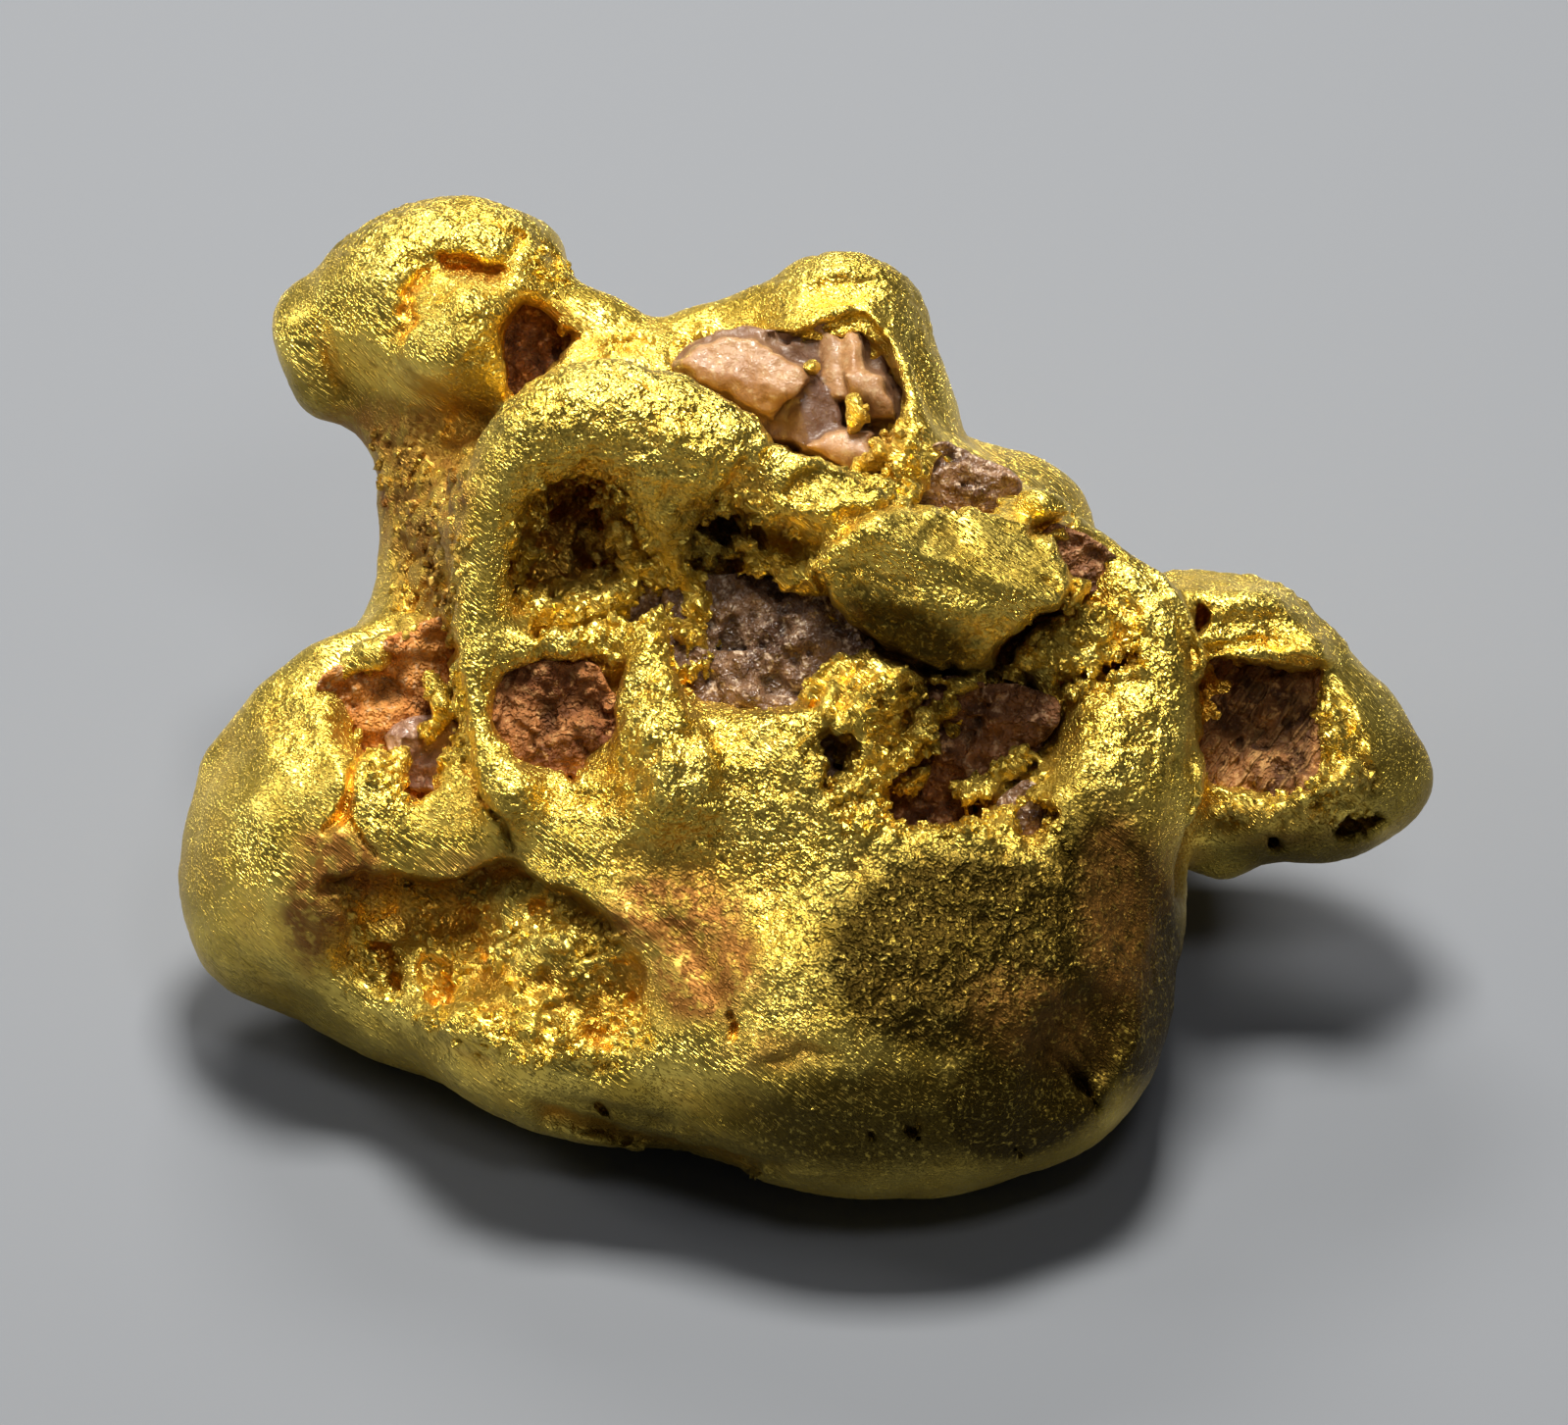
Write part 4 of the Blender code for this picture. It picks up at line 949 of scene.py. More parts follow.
def add_node(tree, kind, links=(), **settings):
    """A node with its settings; links are (input, output of another node) pairs or (input, value)."""
    node = tree.nodes.new(kind)
    for label, value in settings.items():
        setattr(node, label, value)
    for label, source in links:
        if isinstance(source, bpy.types.NodeSocket):
            tree.links.new(source, node.inputs[label])
        else:
            node.inputs[label].default_value = source
    return node


def maths(tree, operation, one, two=0.5, clamp=False):
    node = add_node(tree, "ShaderNodeMath", ((0, one), (1, two)), operation=operation, use_clamp=clamp)
    return node.outputs[0]


def times(tree, one, two):
    return maths(tree, "MULTIPLY", one, two)


def vectors(tree, operation, *values, **more):
    """A vector operation on its first values, and on more of its inputs by name."""
    links = (*enumerate(values), *((label.capitalize(), value) for label, value in more.items()))
    return add_node(tree, "ShaderNodeVectorMath", links, operation=operation)


def spread(tree, value, low, high, to_low=0.0, to_high=1.0):
    """A value between low and high brought to between two others."""
    links = (("Value", value), ("From Min", low), ("From Max", high), ("To Min", to_low), ("To Max", to_high))
    return add_node(tree, "ShaderNodeMapRange", links, clamp=True).outputs[0]


def blend_colours(tree, share, one, two):
    """From the first colour to the second by a share; both are (red, green, blue) or another node's output."""
    links = [("Factor", share)]
    for socket, colour in ((6, one), (7, two)):
        links.append((socket, (*colour, 1) if isinstance(colour, tuple) else colour))
    return add_node(tree, "ShaderNodeMix", links, data_type="RGBA").outputs[2]


def noise(tree, place, size, detail, roughness):
    links = (("Vector", place), ("Scale", size), ("Detail", detail), ("Roughness", roughness))
    return add_node(tree, "ShaderNodeTexNoise", links)


def scratch_group():
    """Short fine scratches or fibres that run one way: Lines is high on each of them."""
    tree, given, put = new_group(
        "fine scratches",
        (("Place", "NodeSocketVector", None), ("Lean", "NodeSocketFloat", 0.0), ("Fineness", "NodeSocketFloat", 1.0)),
        (("Lines", "NodeSocketFloat"),),
    )
    turn = add_node(
        tree, "ShaderNodeVectorRotate",
        (("Vector", given.outputs["Place"]), ("Angle", given.outputs["Lean"]), ("Axis", (0.0, -0.743, 0.669))),
        rotation_type="AXIS_ANGLE",
    )
    stretch = vectors(tree, "MULTIPLY", turn.outputs[0], (1700.0, 15000.0, 15000.0))
    finer = vectors(tree, "SCALE", stretch.outputs[0], scale=given.outputs["Fineness"])
    grain = noise(tree, finer.outputs[0], 1.0, 1.0, 0.6)
    tree.links.new(spread(tree, grain.outputs["Fac"], 0.5, 0.72), put.inputs["Lines"])
    return tree


def foil_group():
    """A skin beaten and crumpled like foil: its Height, and Recess, which is high between the crests and by which the
    gold's finish paints shade there.
    """
    tree, given, put = new_group(
        "beaten skin",
        (("Place", "NodeSocketVector", None), ("Size", "NodeSocketFloat", 7000.0)),
        (("Height", "NodeSocketFloat"), ("Recess", "NodeSocketFloat")),
    )
    fine = vectors(tree, "SCALE", given.outputs["Place"], scale=given.outputs["Size"])
    folds = noise(tree, fine.outputs[0], 0.45, 2.0, 0.6)
    off = maths(tree, "ABSOLUTE", maths(tree, "SUBTRACT", folds.outputs["Fac"], 0.5))
    crest = maths(tree, "SUBTRACT", 1.0, times(tree, off, 8.0), clamp=True)
    shift = vectors(tree, "SCALE", folds.outputs["Color"], scale=2.4)
    bent = vectors(tree, "ADD", fine.outputs[0], shift.outputs[0])
    facets = add_node(tree, "ShaderNodeTexVoronoi", (("Vector", bent.outputs[0]), ("Scale", 1.0)))
    away = vectors(tree, "SUBTRACT", bent.outputs[0], facets.outputs["Position"])
    lean = vectors(tree, "SUBTRACT", facets.outputs["Color"], (0.5, 0.5, 0.5))
    tilt = vectors(tree, "DOT_PRODUCT", away.outputs[0], lean.outputs[0])
    height = maths(tree, "ADD", times(tree, crest, 0.5), times(tree, tilt.outputs["Value"], 1.1))
    height = maths(tree, "ADD", height, 0.2, clamp=True)
    tree.links.new(height, put.inputs["Height"])
    tree.links.new(spread(tree, height, 0.1, 0.5, 1.0, 0.0), put.inputs["Recess"])
    return tree


def new_material(name):
    material = bpy.data.materials.new(name)
    material.use_nodes = True
    tree = material.node_tree
    shader = tree.nodes["Principled BSDF"]
    return material, tree, shader


def use_group(tree, group, *links):
    return add_node(tree, "ShaderNodeGroup", links, node_tree=group)


def attribute(tree, name):
    return add_node(tree, "ShaderNodeAttribute", (), attribute_name=name).outputs["Fac"]


def bumped(tree, height, distance, under=None):
    """The surface's normal with a height worked into it, on top of another such normal if there is one."""
    links = [("Height", height), ("Strength", 1.0), ("Distance", distance)]
    if under is not None:
        links.append(("Normal", under))
    return add_node(tree, "ShaderNodeBump", links).outputs["Normal"]


def mottled(tree, place, size, low, high):
    """Blotches of a size, between two levels of noise."""
    return spread(tree, noise(tree, place, size, 2.0, 0.7).outputs["Fac"], low, high)


# The gold's colours as light, red, green and blue: clean, painted shade between its crests, a painted glow deep in
# hollows, and its coats (the dark coat partly painted shade)
CLEAN_GOLD = ((0.79, 0.555, 0.085), (0.93, 0.70, 0.14))
PAINTED_RECESS_SHADE = (0.34, 0.21, 0.03)
PAINTED_HOLLOW_GLOW = (0.94, 0.43, 0.035)
FILM_AND_SHADE_COLOUR = (0.038, 0.023, 0.004)
RUST = (0.31, 0.13, 0.017)
SHADED_CRYSTAL = (0.075, 0.035, 0.028)


def gold_finish(scratches, skin):
    """Gold that is satin where it is worn and crumpled where it is beaten, under a dark coat and iron stain. Shade is
    painted between its crests, an orange glow is painted in its hollows, and the dark coat is partly painted shade.
    """
    material, tree, shader = new_material("native_gold")
    place = add_node(tree, "ShaderNodeTexCoord").outputs["Object"]
    hollow, beaten, stain, tarnish_and_shade = (attribute(tree, n) for n in ("hollow", "beaten", "stain", "tarnish_and_shade"))
    lines = use_group(tree, scratches, ("Place", place), ("Lean", 0.7), ("Fineness", 1.5)).outputs["Lines"]
    foil = use_group(tree, skin, ("Place", place), ("Size", 8200.0)).outputs
    colour = blend_colours(tree, mottled(tree, place, 800.0, 0.35, 0.65), *CLEAN_GOLD)
    # painted shade: the gold is darkened between the crests of its crumpled skin, more where it is beaten
    recess = times(tree, foil["Recess"], maths(tree, "ADD", times(tree, beaten, 0.35), 0.08))
    colour = blend_colours(tree, recess, colour, PAINTED_RECESS_SHADE)
    # painted glow: deep in hollows the gold is painted a bright orange, as light bouncing inside them would make it
    colour = blend_colours(tree, hollow, colour, PAINTED_HOLLOW_GLOW)
    # the dark coat is partly painted shade, darkening the lower belly, the undersides of ledges and creases; it is
    # thinner on the crests, which keep their gold
    dull = spread(tree, foil["Height"], 0.6, 0.95, 1.0, 0.62)
    film_and_shade = times(tree, times(tree, tarnish_and_shade, mottled(tree, place, 2600.0, 0.08, 0.33)), dull)
    colour = blend_colours(tree, times(tree, film_and_shade, 0.98), colour, FILM_AND_SHADE_COLOUR)
    rust = times(tree, stain, mottled(tree, place, 3200.0, 0.22, 0.52))
    colour = blend_colours(tree, rust, colour, RUST)
    tree.links.new(colour, shader.inputs["Base Color"])
    tree.links.new(maths(tree, "SUBTRACT", 1.0, times(tree, rust, 0.4)), shader.inputs["Metallic"])
    rough = maths(tree, "ADD", 0.34, times(tree, maths(tree, "ADD", rust, film_and_shade), 0.2))
    tree.links.new(maths(tree, "SUBTRACT", rough, times(tree, lines, 0.08)), shader.inputs["Roughness"])
    line_height = times(tree, lines, maths(tree, "SUBTRACT", 1.0, times(tree, beaten, 0.8)))
    beat = maths(tree, "ADD", times(tree, beaten, 0.85), 0.15)
    normal = bumped(tree, line_height, RELIEF)
    tree.links.new(bumped(tree, times(tree, foil["Height"], beat), RELIEF, normal), shader.inputs["Normal"])
    return material


def rock_finish(name, skin, scratches, dark, light, patch, gloss, fibres, relief):
    """Rock or crystal: three colours in blotches, its gloss, and how much it is drawn out in fibres, with shade painted
    dark in its hollows and where crystals meet.
    """
    material, tree, shader = new_material(name)
    place = add_node(tree, "ShaderNodeTexCoord").outputs["Object"]
    hollow, shade = attribute(tree, "hollow"), attribute(tree, "shade")
    colour = blend_colours(tree, mottled(tree, place, 1300.0, 0.38, 0.62), dark, light)
    colour = blend_colours(tree, mottled(tree, place, 5200.0, 0.55, 0.68), colour, patch)
    lines = use_group(tree, scratches, ("Place", place), ("Lean", -0.95), ("Fineness", 0.5)).outputs["Lines"]
    colour = blend_colours(tree, times(tree, lines, fibres), colour, patch)
    colour = blend_colours(tree, times(tree, shade, 0.85), colour, SHADED_CRYSTAL)
    # painted shade: the colour darkens deep in hollows and along the joins between crystals
    colour = blend_colours(tree, hollow, colour, tuple(part * 0.25 for part in dark))
    tree.links.new(colour, shader.inputs["Base Color"])
    glint = mottled(tree, place, 7000.0, 0.5, 0.66)
    tree.links.new(spread(tree, glint, 0.0, 1.0, gloss + 0.15, gloss - 0.1), shader.inputs["Roughness"])
    shader.inputs["Specular IOR Level"].default_value = 0.2 if gloss > 0.4 else 0.5
    foil = use_group(tree, skin, ("Place", place), ("Size", 9000.0))
    grain = maths(tree, "ADD", foil.outputs["Height"], times(tree, lines, fibres * 2))
    tree.links.new(bumped(tree, grain, relief), shader.inputs["Normal"])
    return material


# ---------------------------------------------------------------- how the surface differs from place to place, and where shade and glow are painted on it

# Iron stain on the gold: chart right and down of its middle, half sizes in mm, turn, strength
STAINS = (
    (345, 880, 1.1, 0.7, -25, 1.6), (320, 930, 0.8, 1.3, 0, 1.5), (470, 878, 1.3, 0.35, 5, 0.65),
    (690, 930, 1.5, 1.0, 0, 1.7), (720, 990, 1.3, 1.2, 20, 1.6), (780, 1070, 1.2, 0.5, 0, 0.7),
    (1140, 930, 0.8, 2.4, 0, 0.6), (1060, 1040, 1.6, 1.0, -20, 0.45), (1190, 870, 0.5, 1.2, 0, 0.5),
    (425, 500, 1.5, 2.2, 0, 1.0), (395, 430, 1.6, 0.7, 0, 1.0), (445, 590, 0.6, 1.3, 0, 0.9),
    (430, 650, 0.8, 0.5, 0, 0.8), (590, 560, 1.0, 1.0, 0, 0.7), (560, 330, 1.0, 0.7, 0, 0.4),
    (895, 440, 0.6, 0.8, 0, 0.8), (873, 620, 0.14, 0.3, 30, 0.6), (799, 540, 0.12, 0.3, 0, 0.8),
    (1380, 800, 0.6, 0.6, 0, 0.3), (1300, 840, 1.6, 0.5, 0, 0.5), (640, 870, 0.6, 0.4, 0, 0.3),
)

# A dark coat on the gold, partly real and partly painted shade on the lower belly, under ledges and in creases: chart
# right and down of its middle, half sizes in mm, turn, strength
FILM_AND_SHADE_PATCHES = (
    (985, 975, 3.4, 2.4, 0, 1.5), (900, 1140, 4.6, 1.5, 4, 0.95), (1140, 970, 1.7, 3.4, 8, 1.4),
    (1050, 1110, 2.4, 1.6, 30, 1.4), (700, 1165, 3.0, 0.9, -14, 0.7), (1000, 560, 2.0, 0.8, -18, 0.3),
    (705, 965, 1.7, 1.2, 20, 0.15), (860, 495, 0.8, 0.4, 0, 0.4), (590, 1000, 1.2, 1.0, 0, 0.3),
    (1440, 800, 1.0, 1.7, 0, 0.6),
    (1340, 868, 2.3, 0.5, 5, 0.8), (925, 645, 2.0, 0.75, -25, 0.95), (270, 1010, 2.2, 0.9, -25, 0.45),
    (195, 880, 0.8, 1.7, 0, 0.35), (330, 405, 1.5, 0.7, -25, 0.6), (480, 385, 0.6, 1.6, 10, 0.5),
    (1010, 745, 2.0, 1.3, 20, 0.5), (840, 780, 0.9, 1.1, 0, 0.4), (720, 545, 1.1, 0.8, 0, 0.5),
    (480, 905, 2.8, 0.35, 0, 0.7), (600, 928, 1.2, 0.4, -30, 0.6), (520, 860, 0.4, 0.9, 0, 0.4),
    (1215, 730, 0.35, 2.4, 0, 0.4), (1090, 640, 1.0, 0.5, 20, 0.5), (1395, 700, 0.5, 1.2, 40, 0.2),
)

# Where the skin is beaten rather than satin: chart right and down, half sizes in mm, strength
BEATEN = (
    (620, 450, 3.2, 2.6, 1.0), (760, 450, 1.8, 1.4, 1.0), (660, 740, 1.2, 2.2, 1.0), (800, 850, 4.5, 2.2, 1.0),
    (950, 950, 4.5, 3.2, 1.0), (1150, 700, 1.6, 3.4, 0.9), (300, 740, 0.9, 1.1, 0.8), (380, 820, 0.8, 0.8, 0.9),
    (430, 235, 2.6, 1.1, 0.9), (500, 335, 1.3, 1.1, 0.9), (490, 740, 0.6, 2.2, 0.9), (570, 665, 1.7, 0.6, 1.0),
    (580, 812, 2.4, 0.8, 0.8), (790, 735, 1.5, 0.5, 1.0), (850, 502, 1.3, 0.6, 0.8),
    (915, 650, 2.0, 0.6, 0.8), (870, 545, 0.9, 0.4, 0.8),
    (490, 280, 1.6, 1.6, 0.5), (1250, 640, 2.0, 0.8, 0.8), (960, 640, 1.6, 0.8, 1.0), (870, 300, 2.4, 1.6, 0.6),
)


def patches(table, across, up):
    """How strongly each (across, up) lies in the patches of a table."""
    total = np.zeros(across.shape)
    for right, down, half_wide, half_high, turn, strength in table:
        middle = chart([(right, down)])[0]
        side, rise = turned(across - middle[0], up - middle[1], turn)
        reach = np.sqrt((side / half_wide) ** 2 + (rise / half_high) ** 2)
        total = np.maximum(total, strength * (1 - ease(reach, 0.45, 1.3)))
    return total


def set_attribute(piece, name, values):
    """Keeps a number for each corner of a piece, for its finish to read."""
    layer = piece.data.attributes.new(name, "FLOAT", "POINT")
    layer.data.foreach_set("value", np.clip(values, 0, 1).astype(np.float32))


def face_places(piece):
    return to_face(read_corners(piece.data) / MM)


def hollowness(solid, places):
    """How deep in a dip each place of the surface lies, 0 on open skin and 1 deep inside: in small hollows, and in
    large ones. The finishes paint shade in the hollows of rock and a glow in the hollows of gold by it."""
    half = solid.depth[::2, ::2, ::2]
    near, wide = (
        Solid(solid.low / 2, blurred(half, reach / GRID / 2)).sample(places / 2) for reach in (0.3, 0.9)
    )
    return np.clip(-near * 5.0, 0, 1), np.clip(-wide * 1.6, 0, 1)


# ---------------------------------------------------------------- the gold, the rock, the room


def facing_of(corners, faces):
    """Outward direction at every corner of four-sided faces."""
    normals = np.cross(corners[faces[:, 2]] - corners[faces[:, 0]], corners[faces[:, 3]] - corners[faces[:, 1]])
    total = np.zeros(corners.shape)
    for axis in range(3):
        total[:, axis] = sum(np.bincount(faces[:, k], normals[:, axis], len(corners)) for k in range(4))
    return total / np.maximum(np.linalg.norm(total, axis=1), 1e-9)[:, None]


def beaten_share(places):
    return patches([(*spot, 0, strength) for *spot, strength in BEATEN], places[:, 0], places[:, 1])


def beat_skin(gold):
    """Gives the gold's surface its natural unevenness: broad swells, hammered dimples and fine wrinkles."""

    def move(corners, faces):
        facing = facing_of(corners, faces)
        if np.mean((gold.sample(corners + facing * GRID) > gold.sample(corners))) < 0.5:
            facing = -facing
        hammered = 0.25 + 0.75 * beaten_share(corners)
        relief = 0.06 * swells(corners, 2.1, 301) + 0.045 * swells(corners, 0.95, 302)
        relief += hammered * 0.04 * swells(corners, 0.45, 303)
        relief -= hammered * 0.045 * (1 - np.minimum(np.abs(swells(corners, 0.6, 304)) * 4, 1))
        relief -= hammered * 0.02 * (1 - np.minimum(np.abs(swells(corners, 0.3, 306)) * 3, 1))
        relief += hammered * 0.018 * swells(corners, 0.2, 305)
        return corners + facing * relief[:, None]

    return move


def make_gold(scratches, skin):
    """The gold with what its finish reads at each place, and the crumbs on it."""
    gold = shape_gold()
    material = gold_finish(scratches, skin)
    piece = finished("gold_skin", gold, GOLD_TRIANGLES, material, beat_skin(gold))
    places = face_places(piece)
    small, large = hollowness(gold, places)
    uneven = 0.75 + 0.35 * swells(places, 0.5, 7)
    # painted glow: the gold's finish paints an orange glow deep in hollows by this
    set_attribute(piece, "hollow", np.maximum(small * 0.6, large))
    set_attribute(piece, "stain", patches(STAINS, places[:, 0], places[:, 1]) * uneven)
    # deep hollows also count as beaten: rougher there, with more shade painted between the crests
    set_attribute(piece, "beaten", np.maximum(beaten_share(places), large))
    # partly painted shade: darkens the lower belly, the undersides of ledges and creases
    set_attribute(piece, "tarnish_and_shade", patches(FILM_AND_SHADE_PATCHES, places[:, 0], places[:, 1]))
    set_attribute(piece, "crumbly", crumbly_share(gold, places))
    scatter_crumbs(piece, material)
    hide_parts("gold")


def crumbly_share(gold, places):
    """How thickly crumbs of gold lie on each place of the front surface."""
    share = np.zeros(len(places))
    for outline, size, stand in CRUMBLY:
        if stand > LEAST_CRUMBLY:
            gap = outline_gap(outline, places[:, None, :2])[:, 0]
            share = np.maximum(share, 1 - ease(gap, -0.25, 0.05))
    clumps = ease(swells(places, 0.7, 77), -0.1, 0.25)
    return share * clumps * (1 - hidden_share(gold, places))


def crumb_shape():
    """One chipped crumb of gold, a metre across, to be made small where it is used."""
    chance = np.random.default_rng(12)
    shape = bmesh.new()
    bmesh.ops.create_icosphere(shape, subdivisions=1, radius=0.5)
    for corner in shape.verts:
        corner.co *= chance.uniform(0.7, 1.15)
    mesh = bpy.data.meshes.new("crumb")
    shape.to_mesh(mesh)
    shape.free()
    return bpy.data.objects.new("crumb", mesh)


def scatter_group():
    """Sets crumbs on a surface, thickest where its "crumbly" number is high."""
    tree, given, put = new_group(
        "crumbs on a surface",
        (("Surface", "NodeSocketGeometry", None), ("Crumb", "NodeSocketObject", None),
         ("Number per area", "NodeSocketFloat", None), ("Smallest", "NodeSocketFloat", None),
         ("Largest", "NodeSocketFloat", None), ("Seed", "NodeSocketInt", None),
         ("Finish", "NodeSocketMaterial", None)),
        (("Crumbs", "NodeSocketGeometry"),),
        "GeometryNodeTree",
    )
    share = add_node(tree, "GeometryNodeInputNamedAttribute", (("Name", "crumbly"),), data_type="FLOAT")
    number = times(tree, share.outputs["Attribute"], given.outputs["Number per area"])
    points = add_node(
        tree, "GeometryNodeDistributePointsOnFaces",
        (("Mesh", given.outputs["Surface"]), ("Density", number), ("Seed", given.outputs["Seed"])),
    )
    crumb = add_node(tree, "GeometryNodeObjectInfo", (("Object", given.outputs["Crumb"]), ("As Instance", True)))
    turn = add_node(
        tree, "FunctionNodeRandomValue",
        ((0, (0.0, 0.0, 0.0)), (1, (WHOLE_TURN,) * 3), ("Seed", given.outputs["Seed"])),
        data_type="FLOAT_VECTOR",
    )
    size = add_node(
        tree, "FunctionNodeRandomValue",
        ((2, given.outputs["Smallest"]), (3, given.outputs["Largest"]), ("Seed", given.outputs["Seed"])),
        data_type="FLOAT",
    )
    placed = add_node(
        tree, "GeometryNodeInstanceOnPoints",
        (("Points", points.outputs["Points"]), ("Instance", crumb.outputs["Geometry"]), ("Rotation", turn.outputs[0]),
         ("Scale", size.outputs[1])),
    )
    real = add_node(tree, "GeometryNodeRealizeInstances", (("Geometry", placed.outputs[0]),))
    finish = add_node(
        tree, "GeometryNodeSetMaterial", (("Geometry", real.outputs[0]), ("Material", given.outputs["Finish"]))
    )
    tree.links.new(finish.outputs[0], put.inputs["Crumbs"])
    return tree


def scatter_crumbs(surface, material):
    """Crumbs of gold on the crumbling parts, as one plain mesh."""
    tree = scatter_group()
    carrier = put_in_scene("crumb carrier", surface.data)
    crumb = crumb_shape()
    modifier = carrier.modifiers.new("crumbs", "NODES")
    modifier.node_group = tree
    wanted = {
        "Crumb": crumb, "Number per area": CRUMBS_PER_AREA, "Smallest": CRUMB_SIZES[0] * MM,
        "Largest": CRUMB_SIZES[1] * MM, "Seed": CRUMB_SEED, "Finish": material,
    }
    for socket in tree.interface.items_tree:
        if socket.in_out == "INPUT" and socket.name in wanted:
            modifier[socket.identifier] = wanted[socket.name]
    mesh = made_plain(carrier)
    for spare in (carrier, crumb):
        bpy.data.objects.remove(spare)
    mesh.name = "gold_crumbs"
    piece = put_in_scene("gold_crumbs", mesh)
    mesh.polygons.foreach_set("use_smooth", np.zeros(len(mesh.polygons), bool))
    values = np.zeros(len(mesh.vertices), np.float32)
    # less of the glow painted in hollows on the crumbs, so they stay bright gold
    mesh.attributes["hollow"].data.foreach_get("value", values)
    mesh.attributes["hollow"].data.foreach_set("value", values * 0.4)
    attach(piece, "root")


# Minerals: three colours, gloss, fibres, depth of the fine relief in metres, and the slot of its finish
MINERALS = {
    "dark quartz": (
        (0.09, 0.042, 0.022), (0.25, 0.135, 0.07), (0.60, 0.44, 0.30), 0.24, 0.0, 0.00006, "quartz_dark",
    ),
    "pale quartz": (
        (0.30, 0.145, 0.055), (0.40, 0.22, 0.095), (0.46, 0.30, 0.155), 0.36, 0.0, 0.000012, "quartz_pale",
    ),
    "pink quartz": ((0.26, 0.13, 0.08), (0.46, 0.27, 0.18), (0.70, 0.50, 0.38), 0.3, 0.0, 0.00003, "quartz_pale"),
    "ironstone": ((0.16, 0.05, 0.014), (0.40, 0.16, 0.05), (0.56, 0.29, 0.11), 0.6, 0.0, 0.0001, "ironstone"),
    "brown rock": ((0.09, 0.035, 0.015), (0.28, 0.12, 0.05), (0.50, 0.29, 0.15), 0.45, 0.0, 0.0001, "ironstone"),
    "clay rock": ((0.46, 0.15, 0.03), (0.82, 0.36, 0.09), (0.74, 0.46, 0.24), 0.6, 0.0, 0.0001, "ironstone"),
    "fibrous rock": (
        (0.09, 0.035, 0.012), (0.32, 0.135, 0.042), (0.52, 0.28, 0.10), 0.5, 0.7, 0.00007, "ironstone",
    ),
}

# Rock in the pits: name, pit, level of its face, slope of the face across and up, mineral
ROCKS = (
    ("quartz_middle_face", "middle", -1.6, (0.1, -0.1), "dark quartz", ("quartz_middle",)),
    ("ironstone_square_face", "square", -1.35, (0.05, 0.05), "ironstone", ("ironstone_square",)),
    ("ironstone_long_face", "long", -2.2, (0.28, 0.28), "brown rock", ("ironstone_long_pit",)),
    ("ironstone_left_face", "left", -4.1, (0.0, 0.2), "clay rock", ("ironstone_left",)),
    ("quartz_back_face", "back", -3.6, (0.0, 0.2), "dark quartz", ("quartz_back",)),
    ("ironstone_knob_face", "knob recess", -4.75, (0.3, -0.3), "fibrous rock", ("ironstone_right_knob",)),
    ("ironstone_upper_face", "upper", -7.4, (0.0, 0.1), "brown rock", ("ironstone_upper_knob",)),
    ("quartz_slot_face", "slot", -2.3, (0.0, 0.1), "dark quartz", ()),
    ("quartz_rim_face", "rim", -2.2, (0.0, 0.1), "brown rock", ()),
    ("quartz_dark_face", "dark", -1.3, (0.0, 0.1), "dark quartz", ()),
    ("quartz_left_grain", "left grain", -3.75, (0.2, 0.35), "pink quartz", ()),
    ("quartz_small_face", "right small", -1.4, (0.0, 0.1), "dark quartz", ()),
)

# Grains of rock that stand in the rock of a pit: outline and how deep they reach
GRAINS = {"left grain": (((404, 757), (426, 741), (450, 745), (460, 768), (444, 796), (420, 790)), -5.2)}

# Crystals grown together on top: outline, ridge line, levels of its ends, slopes above and below, how dark
CRYSTALS = (
    (((694, 366), (712, 350), (738, 341), (769, 341), (795, 359), (818, 374), (825, 383), (812, 397), (799, 406),
      (786, 421), (772, 414), (745, 398), (713, 384)), ((712, 374), (812, 398)), (-4.2, -3.9), 0.4, 0.3, 0.04),
    (((778, 440), (784, 425), (799, 405), (814, 396), (825, 384), (834, 384), (847, 397), (858, 412), (858, 429),
      (847, 438), (825, 449), (801, 448)), ((812, 398), (824, 448)), (-4.35, -4.2), 0.2, 0.9, 0.95),
    (((837, 330), (853, 334), (858, 371), (862, 399), (851, 399), (840, 384), (839, 356)), ((848, 334), (856, 398)),
     (-4.9, -4.3), 0.7, 0.7, 0.2),
    (((856, 343), (866, 334), (875, 338), (881, 371), (870, 378), (862, 375)), ((866, 338), (873, 374)),
     (-4.7, -4.2), 0.8, 0.8, 0.0),
    (((862, 379), (882, 374), (899, 382), (910, 408), (912, 421), (890, 421), (884, 408), (866, 402)),
     ((866, 384), (908, 412)), (-3.95, -3.95), 0.3, 0.6, 0.02),
    (((823, 453), (843, 440), (862, 436), (888, 440), (886, 470), (880, 479), (858, 470)), ((834, 452), (884, 462)),
     (-3.8, -3.6), 0.5, 0.5, 0.14),
    (((795, 352), (812, 348), (838, 342), (842, 380), (832, 382), (816, 372)), ((800, 352), (838, 366)),
     (-5.0, -5.0), 0.2, 0.3, 0.8),
)


def broken_face(places, seed, crystalline):
    """The broken face of a rock: sharp chips where it is crystalline, rounded lumps and grains where not."""
    if crystalline:
        broad = 0.3 * chips(places, 1.0, seed) + 0.15 * chips(places, 0.42, seed + 1)
        return broad + 0.06 * chips(places, 0.2, seed + 2)
    lumps = 0.2 * swells(places, 1.0, seed) + 0.22 * crumbs(places, 0.6, seed + 1)
    return lumps + 0.12 * crumbs(places, 0.28, seed + 2) + 0.1 * chips(places, 0.36, seed + 3)


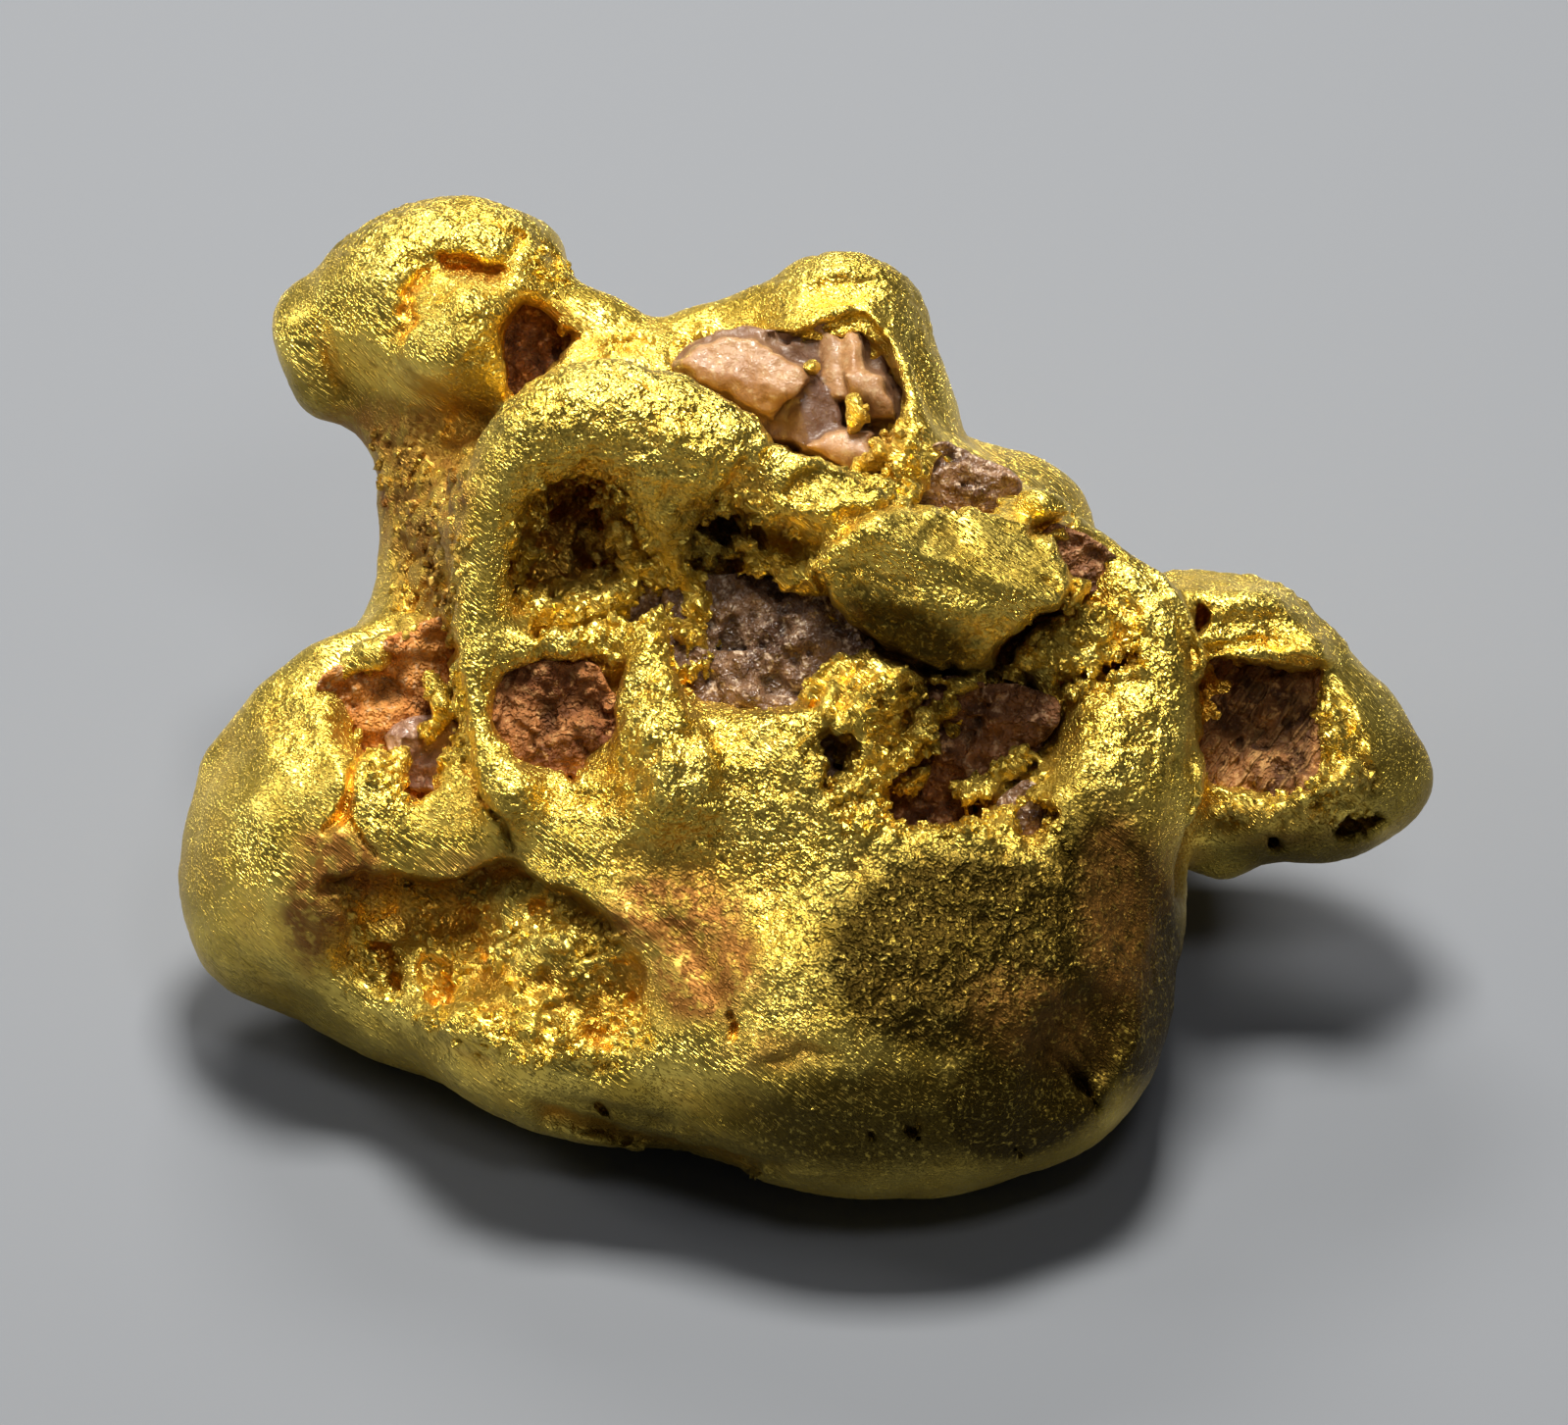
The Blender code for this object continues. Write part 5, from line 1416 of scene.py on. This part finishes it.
def rock_in_pit(outline, floor, level, slope, seed, crystalline, top):
    """The solid of a rock that fills a pit up to a broken face, with its sides buried in the gold."""
    ring = chart(outline)
    low = np.floor(np.append(ring.min(0) - 0.8, floor - 1.4) / GRID).astype(int)
    high = np.ceil(np.append(ring.max(0) + 0.8, top) / GRID).astype(int)
    rock = Solid(low, np.zeros(high - low, np.float32))
    wide = rock.wide()
    middle = ring.mean(0)
    out = rock.axis(2)[None, None, :]
    face = level + slope[0] * (wide[..., 0] - middle[0]) + slope[1] * (wide[..., 1] - middle[1])
    over = out - face[..., None]
    close = np.abs(over) < 0.8
    over[close] += broken_face(rock.places()[close.reshape(-1)], seed, crystalline)
    walls = outline_gap(outline, wide)[..., None] - 0.3
    rock.depth[:] = np.clip(np.maximum(np.maximum(walls, over), floor - 0.7 - out), -BAND, BAND)
    return rock


def make_rock(name, pit, level, slope, seed, material, crystalline):
    """Rock in one of the pits."""
    outline, floor = PITS[pit][:2] if pit in PITS else GRAINS[pit]
    rock = rock_in_pit(outline, floor, level, slope, seed, crystalline, level + 1.6)
    rock.soften(ROCK_SOFTNESS)
    piece = finished(name, rock, ROCK_TRIANGLES, material)
    places = face_places(piece)
    # painted shade: the rock is darkened deep in its hollows by this
    set_attribute(piece, "hollow", hollowness(rock, places)[0])
    set_attribute(piece, "shade", np.zeros(len(places)))
    return piece


def make_rocks(skin, scratches):
    """The rock in the pits and the crystals on top, each with its mineral's finish."""
    finishes = {}
    for name, (*look, slot) in MINERALS.items():
        finishes[name] = rock_finish(name.replace(" ", "_"), skin, scratches, *look)
    for number, (name, pit, level, slope, mineral, nodes) in enumerate(ROCKS):
        piece = make_rock(name, pit, level, slope, ROCK_SEED + 7 * number, finishes[mineral], "quartz" in mineral)
        if nodes:
            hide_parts(*nodes)
    crystals = finished_crystals(finishes["pale quartz"])
    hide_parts("quartz_top")


def crystal_shade(places):
    """How dark the crystal is that each place of the surface belongs to."""
    wide = places[:, None, :2]
    shade = np.full(len(places), 0.7)
    best = np.full(len(places), -FAR)
    for outline, *roof, dark in CRYSTALS:
        face = roof_face(wide, *roof)[:, 0]
        own = (outline_gap(outline, wide)[:, 0] < 0.04) & (np.abs(places[:, 2] - face) < 0.3) & (face > best)
        shade[own], best[own] = dark, face[own]
    return shade


def finished_crystals(material):
    """Flat-faced crystals on top, grown together over a rough root."""
    outline, floor = PITS["top"][:2]
    quartz = rock_in_pit(outline, floor, -5.25, (0.0, 0.0), 5, True, -2.2)
    for *roof, dark in CRYSTALS:
        add_roof(quartz, *roof, 1.6, blend=0.03, flare=0.12)
    close = np.abs(quartz.depth) < 0.5
    places = quartz.places()[close.reshape(-1)]
    quartz.depth[close] += (0.03 * chips(places, 0.5, 8) + 0.02 * swells(places, 0.3, 9)).astype(np.float32)
    piece = finished("quartz_crystals", quartz, ROCK_TRIANGLES * 2, material)
    places = face_places(piece)
    # painted shade, darkest where crystals meet and deep in the root's hollows
    set_attribute(piece, "hollow", hollowness(quartz, places)[0] * 0.6)
    set_attribute(piece, "shade", crystal_shade(places))
    return piece


def add_light(name, place, size, power, colour, target):
    light = bpy.data.lights.new(name, "AREA")
    light.shape = "RECTANGLE"
    light.size, light.size_y = size
    light.energy = power
    light.color = colour
    lamp = put_in_scene(name, light)
    lamp.location = place
    lamp.rotation_euler = (target - Vector(place)).to_track_quat("-Z", "Y").to_euler()


def make_room():
    """Floor, soft lights and the camera, which looks square at the leaning face."""
    floor_mesh = bpy.data.meshes.new("floor")
    edges = (-FLOOR_HALF, FLOOR_HALF)
    corners = [(x, y, 0) for x in edges for y in edges]
    floor_mesh.from_pydata(corners, [], [(0, 2, 3, 1)])
    floor = put_in_scene("floor", floor_mesh)
    material, tree, shader = new_material("pale_floor")
    shader.inputs["Base Color"].default_value = (0.18, 0.194, 0.222, 1)
    shader.inputs["Roughness"].default_value = 0.8
    floor_mesh.materials.append(material)
    target = Vector(from_face(np.array([PICTURE_MIDDLE]))[0]) * MM
    for light in LIGHTS:
        add_light(*light, target)
    world = bpy.data.worlds.new("room")
    bpy.context.scene.world = world
    world.use_nodes = True
    world.node_tree.nodes["Background"].inputs[0].default_value = (0.03, 0.032, 0.036, 1)
    lens = bpy.data.cameras.new("camera")
    lens.sensor_width = SENSOR_WIDTH
    lens.lens = SENSOR_WIDTH * CAMERA_DISTANCE / PICTURE_WIDTH
    lens.clip_start = 0.001
    camera = put_in_scene("camera", lens)
    back = Vector((0, -math.cos(FACE_LEAN), math.sin(FACE_LEAN)))
    camera.location = target + back * CAMERA_DISTANCE
    camera.rotation_euler = (-back).to_track_quat("-Z", "Y").to_euler()
    bpy.context.scene.camera = camera
    bpy.context.scene.view_settings.view_transform = "Standard"


def main():
    make_room()
    scratches = scratch_group()
    skin = foil_group()
    make_gold(scratches, skin)
    make_rocks(skin, scratches)


main()
